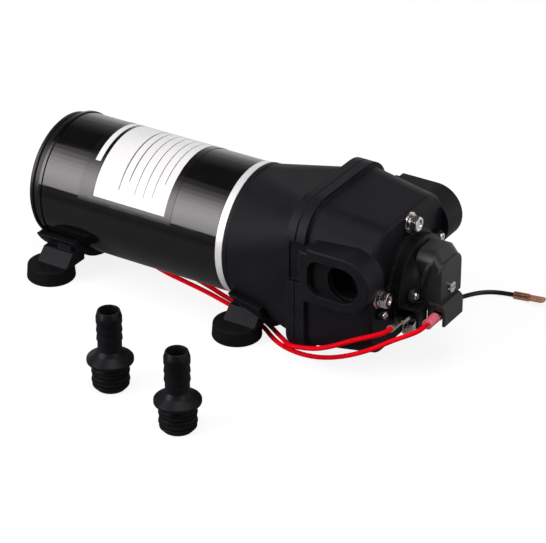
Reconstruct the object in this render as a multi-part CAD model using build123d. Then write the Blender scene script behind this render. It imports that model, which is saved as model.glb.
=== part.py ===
from build123d import *
import math
import os

os.makedirs("parts", exist_ok=True)

# A twelve volt diaphragm pump for the fresh water of a caravan or camper, in millimetres.
# The pump's axis runs along X with the head at +X, the near side is -Y and the feet stand on Z = 0.
# The origin is the middle of the four mounting holes, on the surface that the feet stand on.
# Heights that are given beside the axis are measured from the pump's axis.

# Fits and overruns
running_gap = 0.05  # radial play of a bearing
free_gap = 0.3  # between pieces that move past each other
seat_gap = 0.1  # between fixed pieces that are only laid together
cut_over = 2.0  # how far a cutter runs past the face that it opens

# Stance
axis_height = 46.0
foot_spacing_x = 125.0
foot_spacing_y = 74.2
front_foot_behind_can_front = -13.8

# Motor can
can_radius = 37.5
can_wall = 2.0
can_length = 117.6
can_lip_height = 0.7
can_lip_width = 1.6
lead_angle = 35.0  # of the grommets, from straight down towards the far side
lead_from_front = 68.0
lead_pitch = 6.0

# Rear end cap
end_cap_step = 1.3  # how far its rim stands inside the can's outside
end_cap_depth = 8.2
end_cap_spigot = 6.0
end_cap_wall = 3.0
end_cap_groove_width = 1.3
end_cap_groove_depth = 1.1
end_cap_round = 1.6
end_cap_hub_radius = 13.5

# Front plate of the motor, whose bright edge shows as a band
plate_thickness = 5.0
plate_stand = 0.3  # how far its edge stands out from the can
plate_edge_chamfer = 0.5
plate_spigot = 3.0
plate_hub_radius = 14.0
plate_hub_length = 3.5
bearing_lip = 0.8

# Shaft and its bearings
shaft_radius = 4.0
bearing_radius = 11.0
bearing_width = 7.0
bearing_split_radius = 7.4  # where the inner ring meets the outer ring
bearing_shield_step = 0.5

# Magnets, rotor and brush gear
magnet_thickness = 10.0
magnet_length = 56.0
magnet_arc = 138.0
magnet_from_front = 12.0
air_gap = 0.8
rotor_length = 50.0
rotor_slot_count = 12
rotor_slot_width = 4.0
rotor_slot_depth = 11.0
rotor_slot_mouth = 1.8
rotor_tooth_tip = 2.2
winding_reach = 8.0
winding_step = 3.1  # how far the windings stay inside the core
winding_inner_radius = 11.5
commutator_radius = 10.5
commutator_length = 16.0
commutator_bar_count = 12
commutator_slit = 0.7
commutator_slit_depth = 1.6
brush_plate_thickness = 3.0
brush_width = 6.0
brush_depth = 8.0
brush_length = 9.0
brush_box_wall = 1.0
brush_spring_radius = 2.4
brush_spring_wire = 0.6
through_bolt_radius = 2.0
through_bolt_inset = 8.0  # from the can's outside
through_bolt_head_radius = 3.8
through_bolt_head_height = 2.6
through_bolt_slot = 1.2

# Tilted drive: the hub's journal leans, so the plate on it nods without turning
tilt = 3.2
nod_behind_diaphragm = 17.0
journal_radius = 8.5
drive_ring_radius = 17.5
drive_ring_width = 9.0
drive_split_radius = 12.6
hub_collar_radius = 11.4
hub_collar_length = 2.2
hub_sleeve_radius = 8.5
hub_sleeve_length = 13.0
set_screw_radius = 2.0
plate_hub_wall = 4.0
nod_arm_width = 12.0
nod_arm_thickness = 6.0
piston_circle = 24.5
piston_radius = 9.0
piston_seat_thickness = 3.0
piston_cap_thickness = 2.0
piston_screw_radius = 2.0
piston_screw_head_radius = 3.6
piston_screw_head_height = 1.1
piston_count = 4

# Lower housing
flange_half_width = 43.6
flange_top = 45.2
flange_bottom = 42.0
flange_top_round = 22.0
flange_bottom_round = 13.0
housing_length = 44.0  # from the front plate to the back of its flange
housing_half_width = 40.4
housing_top = 39.6
housing_bottom = 39.2
housing_top_round = 19.5
housing_bottom_round = 15.0
housing_wall = 3.4
lower_flange_thickness = 5.4
seam_chamfer = 0.5  # on both flanges where they meet
housing_neck_step = 4.5  # from the can's outside in to the opening behind the drive
rear_bead_width = 2.2
rear_bead_height = 0.7

# Diaphragm and valve plate
diaphragm_thickness = 1.8
diaphragm_inset = 5.2
cup_wall = 1.0
cup_depth = 5.2
cup_radius = 11.4
valve_plate_thickness = 6.0
bowl_depth = 3.4
valve_hole_radius = 1.4
valve_radius = 5.2
valve_thickness = 0.9
valve_stem_radius = 1.2
outlet_valve_radius = 8.0
outlet_hole_circle = 5.4
seal_wire = 2.0

# Upper housing
upper_flange_thickness = 5.6
face_half_width = 38.2
face_top = 37.0
face_bottom = 35.0
face_top_round = 19.0
face_bottom_round = 13.0
head_length = 38.4  # from the flange's front to the front face
head_shoulder = 2.6  # how far the flange stands out from the head behind it
face_edge_round = 2.4
chamber_wall = 9.0
outlet_chamber_radius = 12.0
inlet_chamber_inner = 15.0
inlet_chamber_outer = 26.0
channel_radius = 5.6
channel_wall = 2.6

# Ports on both sides of the head
port_from_face = 10.8
port_above_axis = 13.4
port_face_half = 51.7
port_round = 16.0
port_inner_half = 35.0
port_bore_radius = 10.2
port_bore_depth = 18.0
port_edge_round = 1.2
port_step_setback = 1.6  # from the flange's front to the boss's lower step
port_tail_setback = 6.1  # and to the full height of the boss
port_step_drop = 2.4
port_pocket_depth = 3.4
port_pocket_length = 21.0  # behind the bore's axis
port_pocket_round = 7.0
slot_height = 25.0
slot_depth = 3.0
slot_run_back = 24.0
slot_wall = 1.2  # between the slot's round end and the boss's outside
notch_depth = 4.0
notch_bottom_above_axis = 2.0
notch_top_above_axis = 26.5
slide_thickness = 2.2
slide_width = 24.4
slide_fork_radius = 10.6
slide_front = 4.0  # ahead of the bore's axis
slide_back = 26.0  # behind it
slide_travel = 4.5

# Housing screws
housing_screw_circle = 31.1
housing_screw_radius = 2.5
housing_screw_clearance = 2.8
housing_screw_grip = 62.0
screw_boss_radius = 5.6
screw_boss_length = 24.0
spot_face_radius = 7.0
hex_across_flats = 8.0
hex_height = 3.6
hex_dish_radius = 2.6
hex_dish_depth = 0.7
flat_washer_radius = 5.7
flat_washer_thickness = 1.1
spring_washer_radius = 4.6
spring_washer_thickness = 1.4

# Pressure switch
switch_flange_radius = 26.0
switch_flange_thickness = 3.0
switch_body_radius = 24.4
switch_body_length = 8.8
switch_dome_length = 8.8
switch_nose_radius = 14.0
dome_rise = -1.7
switch_lug_angle = 197.5
switch_lug_circle = 31.6
switch_lug_radius = 3.6
switch_bore_radius = 6.6
switch_bore_shoulder = 4.4
pressure_disc_radius = 9.0
pressure_disc_thickness = 1.2
pressure_duct_radius = 2.5
plunger_radius = 4.1
plunger_length = 13.0
plunger_finger_height = 12.5
plunger_finger_width = 4.0
plunger_finger_thickness = 2.0
plunger_travel = 0.8
cover_half_width = 12.0
cover_front = 26.4  # from the head's face
cover_back = 11.0
cover_brow_back = 20.9  # where the top begins to slope down to the front cap
cover_cap_back = 24.7
cover_top = 22.0
cover_cap_top = 17.0
cover_bottom = 7.0
cover_wall = 2.0
cover_top_round = 7.0
cover_cap_round = 6.4
cover_foot_round = 1.0
cover_edge_round = 1.4
cover_fin_width = 2.0
cover_fin_height = 2.2
cover_fin_setback = 2.4
cover_fin_lean = 16.0
spring_radius = 4.2
spring_wire = 0.9
spring_turns = 5
adjuster_radius = 3.0
adjuster_length = 6.5
adjuster_slot_width = 0.9
adjuster_slot_depth = 1.2
micro_width = 9.6
micro_height = 10.2
micro_depth = 6.4
micro_button_radius = 1.3
micro_button_length = 1.6
near_hood_length = 15.5
near_hood_back = 3.6
near_hood_outer = 21.8
near_hood_inner = 13.0
near_hood_top = 6.5
near_hood_bottom = 18.0
front_hood_front = 30.1
front_hood_length = 10.4
front_hood_near = 13.0
front_hood_far = 7.0
front_hood_top = 7.6
front_hood_bottom = 17.6
hood_wall = 1.5
blade_width = 4.8
blade_thickness = 0.8
blade_reach = 1.0
near_blade_drop = 15.0
front_blade_drop = 11.6
small_screw_radius = 1.5
small_screw_head_radius = 2.4
small_screw_head_height = 1.5
small_screw_cross = 0.7
small_screw_length = 7.0
cover_screw_out = 16.6
cover_screw_drop = 1.6
cover_ear_radius = 4.0
cover_ear_setback = 3.0
cover_ear_thickness = 2.0

# Mounting feet
cradle_thickness = 4.0
cradle_gap = 0.15
rear_cradle_length = 38.0
rear_cradle_arc = 54.0
front_cradle_length = 24.0
arm_width = 20.0
arm_ahead = 4.0  # of the foot's middle
arm_top_drop = 28.9  # from the pump's axis to the level top of an arm
arm_least_rise = 3.0
arm_tip_height = 1.4
arm_tip_reach = 4.5
arm_root_half = 24.0  # the arms leave the middle of the pump open as far as this
arm_tip_round = 1.0
foot_radius = 14.0
foot_top_radius = 13.3
foot_height = 9.0
bush_stand = 0.9  # how far a bush reaches into the arm
foot_round = 1.2
bush_radius = 4.2
bush_bore_radius = 2.6
clip_length = 9.0
clip_ahead = 6.7
clip_drop = 27.5
clip_height = 11.0
clip_outer = 33.0
clip_inner = 20.0
stop_thickness = 4.0

# Hose fittings, which stand in front of the pump
fitting_height = 46.5
fitting_bore_radius = 5.1
fitting_barb_root = 6.5
fitting_barb_crest = 7.0
fitting_barb_count = 3
fitting_barb_pitch = 5.0
fitting_barb_start = 29.0
fitting_collar_radius = 12.6
fitting_collar_height = 18.4
fitting_collar_thickness = 2.2
fitting_cone_height = 4.6
fitting_land_radius = 9.9
fitting_groove_radius = 7.6
fitting_ring_radius = 10.3
fitting_ring_heights = (5.2, 10.4)
fitting_groove_width = 3.0
fitting_nose_radius = 8.0
fitting_nose_height = 2.2
fitting_neck_radius = 9.0
fitting_neck_width = 2.8
fitting_places = ((34.7, -117.0), (87.6, -132.4))

# Leads and their ends
lead_diameter = 2.6
lead_bend_share = 0.45
grommet_radius = 3.2
grommet_stand = 2.2
grommet_hole_radius = 2.2
crimp_length = 9.0
crimp_radius = 2.2
crimp_blade_length = 7.0
crimp_blade_width = 5.8
crimp_wall = 0.7
spade_length = 9.5
sleeve_length = 9.0
sleeve_wall = 0.5

# Worked out stations along the pump's axis
can_front = foot_spacing_x / 2 + front_foot_behind_can_front
can_rear = can_front - can_length
plate_front = can_front + plate_thickness
flange_rear = plate_front + housing_length
diaphragm_rear = flange_rear + lower_flange_thickness
diaphragm_front = diaphragm_rear + diaphragm_thickness
valve_front = diaphragm_front + valve_plate_thickness
upper_flange_rear = diaphragm_rear
upper_flange_front = upper_flange_rear + upper_flange_thickness
face_x = upper_flange_front + head_length
port_x = face_x - port_from_face
nod_x = diaphragm_rear - nod_behind_diaphragm
foot_top = foot_height - axis_height
rear_bearing_x = can_rear - end_cap_depth + end_cap_wall
front_bearing_x = can_front - plate_hub_length + seat_gap

# Worked out radii that follow the can
end_cap_radius = can_radius - end_cap_step
plate_radius = can_radius + plate_stand
magnet_inner_radius = can_radius - can_wall - seat_gap - magnet_thickness
rotor_radius = magnet_inner_radius - air_gap
winding_outer_radius = rotor_radius - winding_step
through_bolt_circle = can_radius - through_bolt_inset
housing_neck_radius = can_radius - housing_neck_step

AXIS = Axis((0, 0, axis_height), (1, 0, 0))
SIDE = Plane(origin=(0, 0, axis_height), x_dir=(1, 0, 0), z_dir=(0, -1, 0))
parts = {}


# Helpers that place simple solids by the pump's axis
def group(solids):
    return Compound(children=list(solids))


def across(x):
    return Plane(origin=(x, 0, axis_height), x_dir=(0, 1, 0), z_dir=(1, 0, 0))


def turned(*points):
    return revolve(SIDE * make_face(Polyline(*points, close=True)), axis=AXIS)


def rod(x, length, radius, y=0, z=0):
    base = (Align.CENTER, Align.CENTER, Align.MIN)
    return Pos(x, y, axis_height + z) * Rot(0, 90, 0) * Cylinder(radius, length, align=base)


def ring(x, length, outer, inner, y=0, z=0):
    hole = rod(x - cut_over, length + 2 * cut_over, inner, y, z)
    return rod(x, length, outer, y, z) - hole


def cross_rod(y, length, radius, x, z):
    base = (Align.CENTER, Align.CENTER, Align.MIN)
    return Pos(x, y, axis_height + z) * Rot(-90, 0, 0) * Cylinder(radius, length, align=base)


def upright(z, length, radius, x, y):
    base = (Align.CENTER, Align.CENTER, Align.MIN)
    return Pos(x, y, z) * Cylinder(radius, length, align=base)


def block(x_low, x_high, y_low, y_high, z_low, z_high):
    size = Box(x_high - x_low, y_high - y_low, z_high - z_low, align=(Align.MIN,) * 3)
    return Pos(x_low, y_low, axis_height + z_low) * size


def section(x, half, top, bottom, top_round, bottom_round):
    corners = ((-half, -bottom), (half, -bottom), (half, top), (-half, top))
    radii = [bottom_round, bottom_round, top_round, top_round]
    outline = FilletPolyline(*corners, radius=radii, close=True)
    return across(x) * make_face(outline)


def grown_section(x, sizes, grow=0.0):
    return section(x, *[size + grow for size in sizes])


def quarter_places(circle, first=0.0):
    turns = [math.radians(first + 90.0 * k) for k in range(4)]
    return [(circle * math.cos(t), circle * math.sin(t)) for t in turns]


def hexagon(x, height, flats, y, z):
    face = Pos(y, z) * RegularPolygon(flats / 2, 6, major_radius=False)
    return extrude(across(x) * face, height)


# Motor can with its rolled rear lip and the holes for the lead grommets
def lead_frame(index):
    turn = math.radians(lead_angle)
    out = Vector(0, math.sin(turn), -math.cos(turn))
    x = can_front - lead_from_front - index * lead_pitch
    foot = Vector(x, 0, axis_height) + out * (can_radius - can_wall)
    return Plane(origin=foot, x_dir=(1, 0, 0), z_dir=out)


def make_can():
    can = turned(
        (can_rear, can_radius - can_wall),
        (can_rear, can_radius + can_lip_height),
        (can_rear + can_lip_width, can_radius + can_lip_height),
        (can_rear + can_lip_width, can_radius),
        (can_front, can_radius),
        (can_front, can_radius - can_wall),
    )
    for index in range(2):
        hole = Circle(grommet_hole_radius)
        can -= extrude(lead_frame(index) * hole, can_wall + cut_over, both=True)
    return can


def make_grommet(index):
    frame = lead_frame(index)
    neck = extrude(frame * Circle(grommet_hole_radius), can_wall)
    flange = Plane(frame.origin + frame.z_dir * (can_wall + seat_gap), x_dir=(1, 0, 0), z_dir=frame.z_dir)
    crown = extrude(flange * Circle(grommet_radius), grommet_stand)
    crown = fillet(crown.faces().sort_by(Axis(frame.origin, frame.z_dir))[-1].edges(), grommet_stand / 3)
    bridge = extrude(frame * Circle(grommet_hole_radius - seat_gap), can_wall + grommet_stand)
    return neck + bridge + crown


# Rear end cap: a shallow cup with a groove round its rim and a hub for the bearing
def make_end_cap():
    back = can_rear - end_cap_depth
    groove = can_rear - end_cap_depth / 2
    spigot = can_radius - can_wall - seat_gap
    pocket = bearing_radius
    cap = turned(
        (back, 0),
        (back, end_cap_radius - end_cap_round),
        (back + end_cap_round, end_cap_radius),
        (groove - end_cap_groove_width, end_cap_radius),
        (groove - end_cap_groove_width / 2, end_cap_radius - end_cap_groove_depth),
        (groove + end_cap_groove_width / 2, end_cap_radius - end_cap_groove_depth),
        (groove + end_cap_groove_width, end_cap_radius),
        (can_rear, end_cap_radius),
        (can_rear, spigot),
        (can_rear + end_cap_spigot, spigot),
        (can_rear + end_cap_spigot, spigot - end_cap_wall),
        (back + end_cap_wall, spigot - end_cap_wall),
        (back + end_cap_wall, end_cap_hub_radius),
        (back + end_cap_wall + bearing_width, end_cap_hub_radius),
        (back + end_cap_wall + bearing_width, pocket),
        (back + end_cap_wall, pocket),
        (back + end_cap_wall, 0),
    )
    for z in (-through_bolt_circle, through_bolt_circle):
        cap -= rod(back - cut_over, end_cap_depth, through_bolt_radius + free_gap, 0, z)
        cap -= rod(back - cut_over, through_bolt_head_height + cut_over, through_bolt_head_radius + free_gap, 0, z)
    return cap


# Front plate with its bearing hub; the plate's edge is the bright band
def make_front_plate():
    spigot = can_radius - can_wall - seat_gap
    plate = turned(
        (can_front, bearing_radius),
        (can_front - plate_hub_length, bearing_radius),
        (can_front - plate_hub_length, plate_hub_radius),
        (can_front - plate_spigot, plate_hub_radius),
        (can_front - plate_spigot, spigot),
        (can_front, spigot),
        (can_front, plate_radius - plate_edge_chamfer),
        (can_front + plate_edge_chamfer, plate_radius),
        (plate_front - plate_edge_chamfer, plate_radius),
        (plate_front, plate_radius - plate_edge_chamfer),
        (plate_front, bearing_radius - bearing_lip),
        (front_bearing_x + bearing_width, bearing_radius - bearing_lip),
        (front_bearing_x + bearing_width, bearing_radius),
    )
    for z in (-through_bolt_circle, through_bolt_circle):
        plate -= rod(can_front - cut_over - plate_spigot, plate_thickness + plate_spigot, through_bolt_radius, 0, z)
    return plate


def make_through_bolts():
    head_x = can_rear - end_cap_depth + through_bolt_head_height
    bolts = []
    for z in (-through_bolt_circle, through_bolt_circle):
        shank = rod(head_x, can_front - head_x + plate_thickness / 2, through_bolt_radius - seat_gap, 0, z)
        head = rod(head_x - through_bolt_head_height, through_bolt_head_height, through_bolt_head_radius, 0, z)
        slot = block(
            head_x - through_bolt_head_height - cut_over,
            head_x - through_bolt_head_height / 2,
            -through_bolt_head_radius - cut_over,
            through_bolt_head_radius + cut_over,
            z - through_bolt_slot / 2,
            z + through_bolt_slot / 2,
        )
        bolts.append(shank + (head - slot))
    return group(bolts)


# Ball bearings as two rings each, with a shallow step for the shield
def bearing_outer(x, width, outer, split):
    step = bearing_shield_step
    return turned(
        (x, outer),
        (x, split + running_gap + 2 * step),
        (x + step, split + running_gap + step),
        (x + step, split + running_gap),
        (x + width - step, split + running_gap),
        (x + width - step, split + running_gap + step),
        (x + width, split + running_gap + 2 * step),
        (x + width, outer),
    )


def bearing_inner(x, width, split, bore):
    step = bearing_shield_step
    return turned(
        (x, bore),
        (x, split - step),
        (x + step, split),
        (x + width - step, split),
        (x + width, split - step),
        (x + width, bore),
    )


# Magnets, rotor, windings and commutator
def make_magnets():
    x = can_front - magnet_from_front - magnet_length
    shell = ring(x, magnet_length, can_radius - can_wall - seat_gap, magnet_inner_radius)
    gap = math.radians((180.0 - magnet_arc) / 2)
    reach = 2 * can_radius
    wedge = Polyline((0, 0), (reach * math.sin(gap), reach), (-reach * math.sin(gap), reach), close=True)
    wedge = make_face(wedge)
    for turn in (0, 180):
        cutter = across(x - cut_over) * Rot(0, 0, turn) * wedge
        shell -= extrude(cutter, magnet_length + 2 * cut_over)
    return group(shell.solids())


def rotor_x():
    return can_front - magnet_from_front - (magnet_length + rotor_length) / 2


def make_rotor_core():
    x = rotor_x()
    core = ring(x, rotor_length, rotor_radius, shaft_radius)
    mouth = block(
        x - cut_over,
        x + rotor_length + cut_over,
        rotor_radius - rotor_tooth_tip - cut_over,
        rotor_radius + cut_over,
        -rotor_slot_mouth / 2,
        rotor_slot_mouth / 2,
    )
    slot = block(
        x - cut_over,
        x + rotor_length + cut_over,
        rotor_radius - rotor_slot_depth,
        rotor_radius - rotor_tooth_tip,
        -rotor_slot_width / 2,
        rotor_slot_width / 2,
    )
    cutter = mouth + slot
    for k in range(rotor_slot_count):
        core -= cutter.rotate(AXIS, 360.0 / rotor_slot_count * k)
    return core


def make_windings():
    x = rotor_x()
    ends = []
    for start in (x - winding_reach, x + rotor_length):
        crown = ring(start, winding_reach, winding_outer_radius, winding_inner_radius)
        outer = crown.edges().filter_by(GeomType.CIRCLE).group_by(SortBy.RADIUS)[-1]
        ends.append(fillet(outer, winding_reach / 3))
    return group(ends)


def commutator_x():
    return rotor_x() - winding_reach - commutator_length


def make_commutator():
    x = commutator_x()
    body = ring(x, commutator_length + winding_reach, commutator_radius, shaft_radius)
    slit = block(
        x - cut_over,
        x + commutator_length + winding_reach + cut_over,
        commutator_radius - commutator_slit_depth,
        commutator_radius + cut_over,
        -commutator_slit / 2,
        commutator_slit / 2,
    )
    for k in range(commutator_bar_count):
        body -= slit.rotate(AXIS, 360.0 / commutator_bar_count * k)
    return body


# Brush gear: an insulating plate, two brass boxes, the carbons and their springs
def brush_middle():
    return commutator_x() + commutator_length / 2


def make_brush_plate():
    x = brush_middle() - brush_depth / 2 - brush_box_wall - brush_plate_thickness
    plate = ring(x, brush_plate_thickness, can_radius - can_wall - seat_gap, commutator_radius + 2 * free_gap)
    for z in (-through_bolt_circle, through_bolt_circle):
        plate -= rod(x - cut_over, brush_plate_thickness + 2 * cut_over, through_bolt_radius + free_gap, 0, z)
    return plate


def brush_reach():
    return commutator_radius + free_gap + brush_length


def make_brush_box(side):
    x = brush_middle() - brush_depth / 2 - brush_box_wall
    inner_y = commutator_radius + 3 * free_gap
    outer_y = can_radius - can_wall - 3 * seat_gap - brush_box_wall
    half = brush_width / 2 + brush_box_wall
    box = block(x, x + brush_depth + 2 * brush_box_wall, inner_y, outer_y - brush_box_wall, -half, half)
    box -= block(
        x + brush_box_wall,
        x + brush_box_wall + brush_depth,
        inner_y - cut_over,
        outer_y - 2 * brush_box_wall,
        -brush_width / 2,
        brush_width / 2,
    )
    return box.rotate(AXIS, side)


def make_brush(side):
    x = brush_middle() - brush_depth / 2
    inner_y = commutator_radius + free_gap
    carbon = block(
        x + seat_gap,
        x + brush_depth - seat_gap,
        inner_y,
        inner_y + brush_length,
        -brush_width / 2 + seat_gap,
        brush_width / 2 - seat_gap,
    )
    return carbon.rotate(AXIS, side)


def make_brush_spring(side):
    inner_y = brush_reach() + seat_gap
    outer_y = can_radius - can_wall - 4 * seat_gap - 3 * brush_box_wall
    coil = cross_rod(inner_y, outer_y - inner_y, brush_spring_radius, brush_middle(), 0)
    coil -= cross_rod(inner_y - cut_over, outer_y, brush_spring_radius - brush_spring_wire, brush_middle(), 0)
    return coil.rotate(AXIS, side)


# Shaft and the tilted hub that it carries
def make_shaft():
    start = rear_bearing_x + seat_gap
    end = nod_x + drive_ring_width / 2 - 2 * free_gap
    return rod(start, end - start, shaft_radius)


def tilted(shape):
    hinge = Axis((nod_x, 0, axis_height), (0, 1, 0))
    return shape.rotate(hinge, -tilt)


def make_hub():
    half = drive_ring_width / 2
    journal = rod(nod_x - half, drive_ring_width, journal_radius)
    collar = rod(nod_x - half - hub_collar_length, hub_collar_length, hub_collar_radius)
    hub = tilted(journal + collar)
    sleeve = hub_sleeve_length - hub_collar_length / 2
    hub += rod(nod_x - half - hub_sleeve_length, sleeve, hub_sleeve_radius)
    hub -= rod(nod_x - 3 * hub_sleeve_length, 4 * hub_sleeve_length, shaft_radius)
    place = nod_x - half - hub_sleeve_length * 2 / 3
    hub -= upright(axis_height, hub_sleeve_radius + cut_over, set_screw_radius, place, 0)
    return hub


def make_set_screw():
    half = drive_ring_width / 2
    place = nod_x - half - hub_sleeve_length * 2 / 3
    length = hub_sleeve_radius - shaft_radius - seat_gap
    screw = upright(axis_height + shaft_radius + seat_gap, length, set_screw_radius - seat_gap / 2, place, 0)
    socket = upright(axis_height + hub_sleeve_radius - length / 2, length, set_screw_radius / 2, place, 0)
    return screw - socket


# Nodding plate: a hub round the drive bearing and an arm to each piston seat
def seat_front():
    return diaphragm_rear + diaphragm_thickness / 2 - cup_depth / 2


def make_nod_plate():
    half = drive_ring_width / 2
    hub = ring(nod_x - half, drive_ring_width + plate_hub_wall, drive_ring_radius + plate_hub_wall, drive_ring_radius)
    cap_x = nod_x + half + seat_gap
    hub += rod(cap_x, plate_hub_wall, drive_ring_radius + plate_hub_wall)
    seats = [rod(seat_front() - piston_seat_thickness, piston_seat_thickness, piston_radius, y, z)
             for y, z in quarter_places(piston_circle, 45.0)]
    arm = block(
        cap_x,
        cap_x + nod_arm_thickness,
        0,
        piston_circle,
        -nod_arm_width / 2,
        nod_arm_width / 2,
    )
    plate = hub
    for k in range(piston_count):
        plate += arm.rotate(AXIS, 45.0 + 90.0 * k)
    for y, z in quarter_places(piston_circle, 45.0):
        length = seat_front() - cap_x
        plate += rod(cap_x, length, nod_arm_width / 2, y, z)
    for seat in seats:
        plate += seat
    for y, z in quarter_places(piston_circle, 45.0):
        plate -= rod(cap_x - cut_over, seat_front() - cap_x + 2 * cut_over, piston_screw_radius, y, z)
    return tilted(plate)


def make_piston_caps():
    caps = []
    x = seat_front() + diaphragm_thickness / 2 + 2 * seat_gap
    for y, z in quarter_places(piston_circle, 45.0):
        cap = ring(x, piston_cap_thickness, piston_radius, piston_screw_radius, y, z)
        seat = x + piston_cap_thickness - piston_screw_head_height - seat_gap
        cap -= rod(seat, 2 * piston_cap_thickness, piston_screw_head_radius + seat_gap, y, z)
        caps.append(tilted(cap))
    return group(caps)


def make_piston_screws():
    screws = []
    x = seat_front() + diaphragm_thickness / 2 + 2 * seat_gap
    x += piston_cap_thickness - piston_screw_head_height
    length = x - nod_x - drive_ring_width / 2 - plate_hub_wall / 2
    for y, z in quarter_places(piston_circle, 45.0):
        shank = rod(x - length, length, piston_screw_radius - seat_gap, y, z)
        head = rod(x, piston_screw_head_height, piston_screw_head_radius, y, z)
        screws.append(tilted(shank + head))
    return group(screws)


# Rubber diaphragm: a flat sheet with a cup for each piston
def diaphragm_section(x):
    return section(x, *flange_sizes(diaphragm_inset))


def make_diaphragm():
    sheet = extrude(diaphragm_section(diaphragm_rear), diaphragm_thickness - seat_gap)
    for y, z in quarter_places(housing_screw_circle):
        sheet -= rod(diaphragm_rear - cut_over, diaphragm_thickness + 2 * cut_over, screw_boss_radius, y, z)
    rear = diaphragm_front - cup_depth
    for y, z in quarter_places(piston_circle, 45.0):
        sheet -= rod(rear, cup_depth + cut_over, cup_radius, y, z)
        sheet += ring(rear, cup_depth - seat_gap, cup_radius, cup_radius - cup_wall, y, z)
        disc = rod(seat_front() + seat_gap, diaphragm_thickness / 2, cup_radius - cup_wall / 2, y, z)
        disc -= rod(rear, cup_depth, piston_screw_radius, y, z)
        sheet += tilted(disc)
    return sheet


# Valve plate with a bowl over each piston, holes under each valve, and the rubber valves
def make_valve_plate():
    plate = extrude(diaphragm_section(diaphragm_front), valve_plate_thickness)
    for y, z in quarter_places(housing_screw_circle):
        plate -= rod(diaphragm_front - cut_over, valve_plate_thickness + 2 * cut_over, screw_boss_radius, y, z)
    hole_circle = valve_radius - valve_hole_radius - free_gap
    for y, z in quarter_places(piston_circle, 45.0):
        plate -= rod(diaphragm_front - cut_over, bowl_depth + cut_over, cup_radius, y, z)
        plate -= rod(diaphragm_front, valve_plate_thickness + cut_over, valve_stem_radius + seat_gap, y, z)
        for turn in (60.0, 180.0, 300.0):
            dy = hole_circle * math.cos(math.radians(turn))
            dz = hole_circle * math.sin(math.radians(turn))
            plate -= rod(diaphragm_front, valve_plate_thickness + cut_over, valve_hole_radius, y + dy, z + dz)
    channel = block(
        diaphragm_front - cut_over,
        diaphragm_front + bowl_depth,
        outlet_hole_circle,
        piston_circle,
        -valve_hole_radius,
        valve_hole_radius,
    )
    for k in range(piston_count):
        plate -= channel.rotate(AXIS, 45.0 + 90.0 * k)
    for y, z in quarter_places(outlet_hole_circle, 45.0):
        plate -= rod(diaphragm_front - cut_over, valve_plate_thickness + 2 * cut_over, valve_hole_radius, y, z)
    plate -= rod(diaphragm_front, valve_plate_thickness + cut_over, valve_stem_radius + seat_gap)
    return plate


def mushroom(x, radius, y, z, way):
    stem = rod(x, valve_plate_thickness - bowl_depth, valve_stem_radius, y, z)
    cap_x = x - valve_thickness if way < 0 else x + valve_plate_thickness - bowl_depth
    return stem + rod(cap_x, valve_thickness, radius, y, z)


def make_inlet_valves():
    x = diaphragm_front + bowl_depth
    return group(mushroom(x - seat_gap, valve_radius, y, z, -1) for y, z in quarter_places(piston_circle, 45.0))


def make_outlet_valve():
    stem_length = valve_plate_thickness - bowl_depth
    stem = rod(valve_front - stem_length, stem_length + seat_gap, valve_stem_radius)
    return stem + rod(valve_front + seat_gap, valve_thickness, outlet_valve_radius)


def make_head_seal():
    return ring(valve_front, seal_wire / 2, inlet_chamber_outer + seal_wire, inlet_chamber_outer)


# Lower housing: round at the motor, squarish at its flange, open inside for the drive
def flange_sizes(inset=0.0):
    return (
        flange_half_width - inset,
        flange_top - inset,
        flange_bottom - inset,
        flange_top_round - inset,
        flange_bottom_round - inset,
    )


def housing_hull(grow, start, end):
    round_end = (can_radius,) * 3 + (can_radius - seat_gap,) * 2
    square_end = (
        housing_half_width,
        housing_top,
        housing_bottom,
        housing_top_round,
        housing_bottom_round,
    )
    return loft([grown_section(start, round_end, grow), grown_section(end, square_end, grow)])


def make_lower_housing():
    body = housing_hull(0.0, plate_front, flange_rear)
    flange = extrude(section(flange_rear, *flange_sizes()), lower_flange_thickness)
    body += chamfer(flange.faces().sort_by(Axis.X)[-1].edges(), seam_chamfer)
    body += ring(plate_front, rear_bead_width, can_radius + rear_bead_height, housing_neck_radius)
    body -= housing_hull(-housing_wall, plate_front + housing_wall, diaphragm_rear + cut_over)
    body -= rod(plate_front - cut_over, housing_wall + 2 * cut_over, housing_neck_radius)
    for side in (-1, 1):
        body -= flange_notch(side, flange_rear, diaphragm_rear)
    for boss in make_screw_bosses():
        body += boss
    return body


def make_screw_bosses():
    start = diaphragm_rear - screw_boss_length
    bosses = []
    for k in range(4):
        boss = rod(start, screw_boss_length, screw_boss_radius, housing_screw_circle, 0)
        boss += block(
            start,
            diaphragm_rear,
            housing_screw_circle,
            housing_bottom - housing_wall / 2,
            -screw_boss_radius,
            screw_boss_radius,
        )
        hole = (screw_boss_length + 2 * cut_over, housing_screw_radius + seat_gap / 2, housing_screw_circle, 0)
        boss -= rod(start - cut_over, *hole)
        bosses.append(boss.rotate(AXIS, 90.0 * k))
    return bosses


# Upper housing: the head, with a port on each side and the switch seat in front
def head_body():
    rear = section(upper_flange_front, *flange_sizes(head_shoulder))
    front = section(
        face_x,
        face_half_width,
        face_top,
        face_bottom,
        face_top_round,
        face_bottom_round,
    )
    tower = loft([rear, front])
    edges = tower.faces().sort_by(Axis.X)[-1].edges()
    tower = fillet(edges, face_edge_round)
    flange = extrude(section(upper_flange_rear, *flange_sizes()), upper_flange_thickness)
    return tower + chamfer(flange.faces().sort_by(Axis.X)[0].edges(), seam_chamfer)


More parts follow.
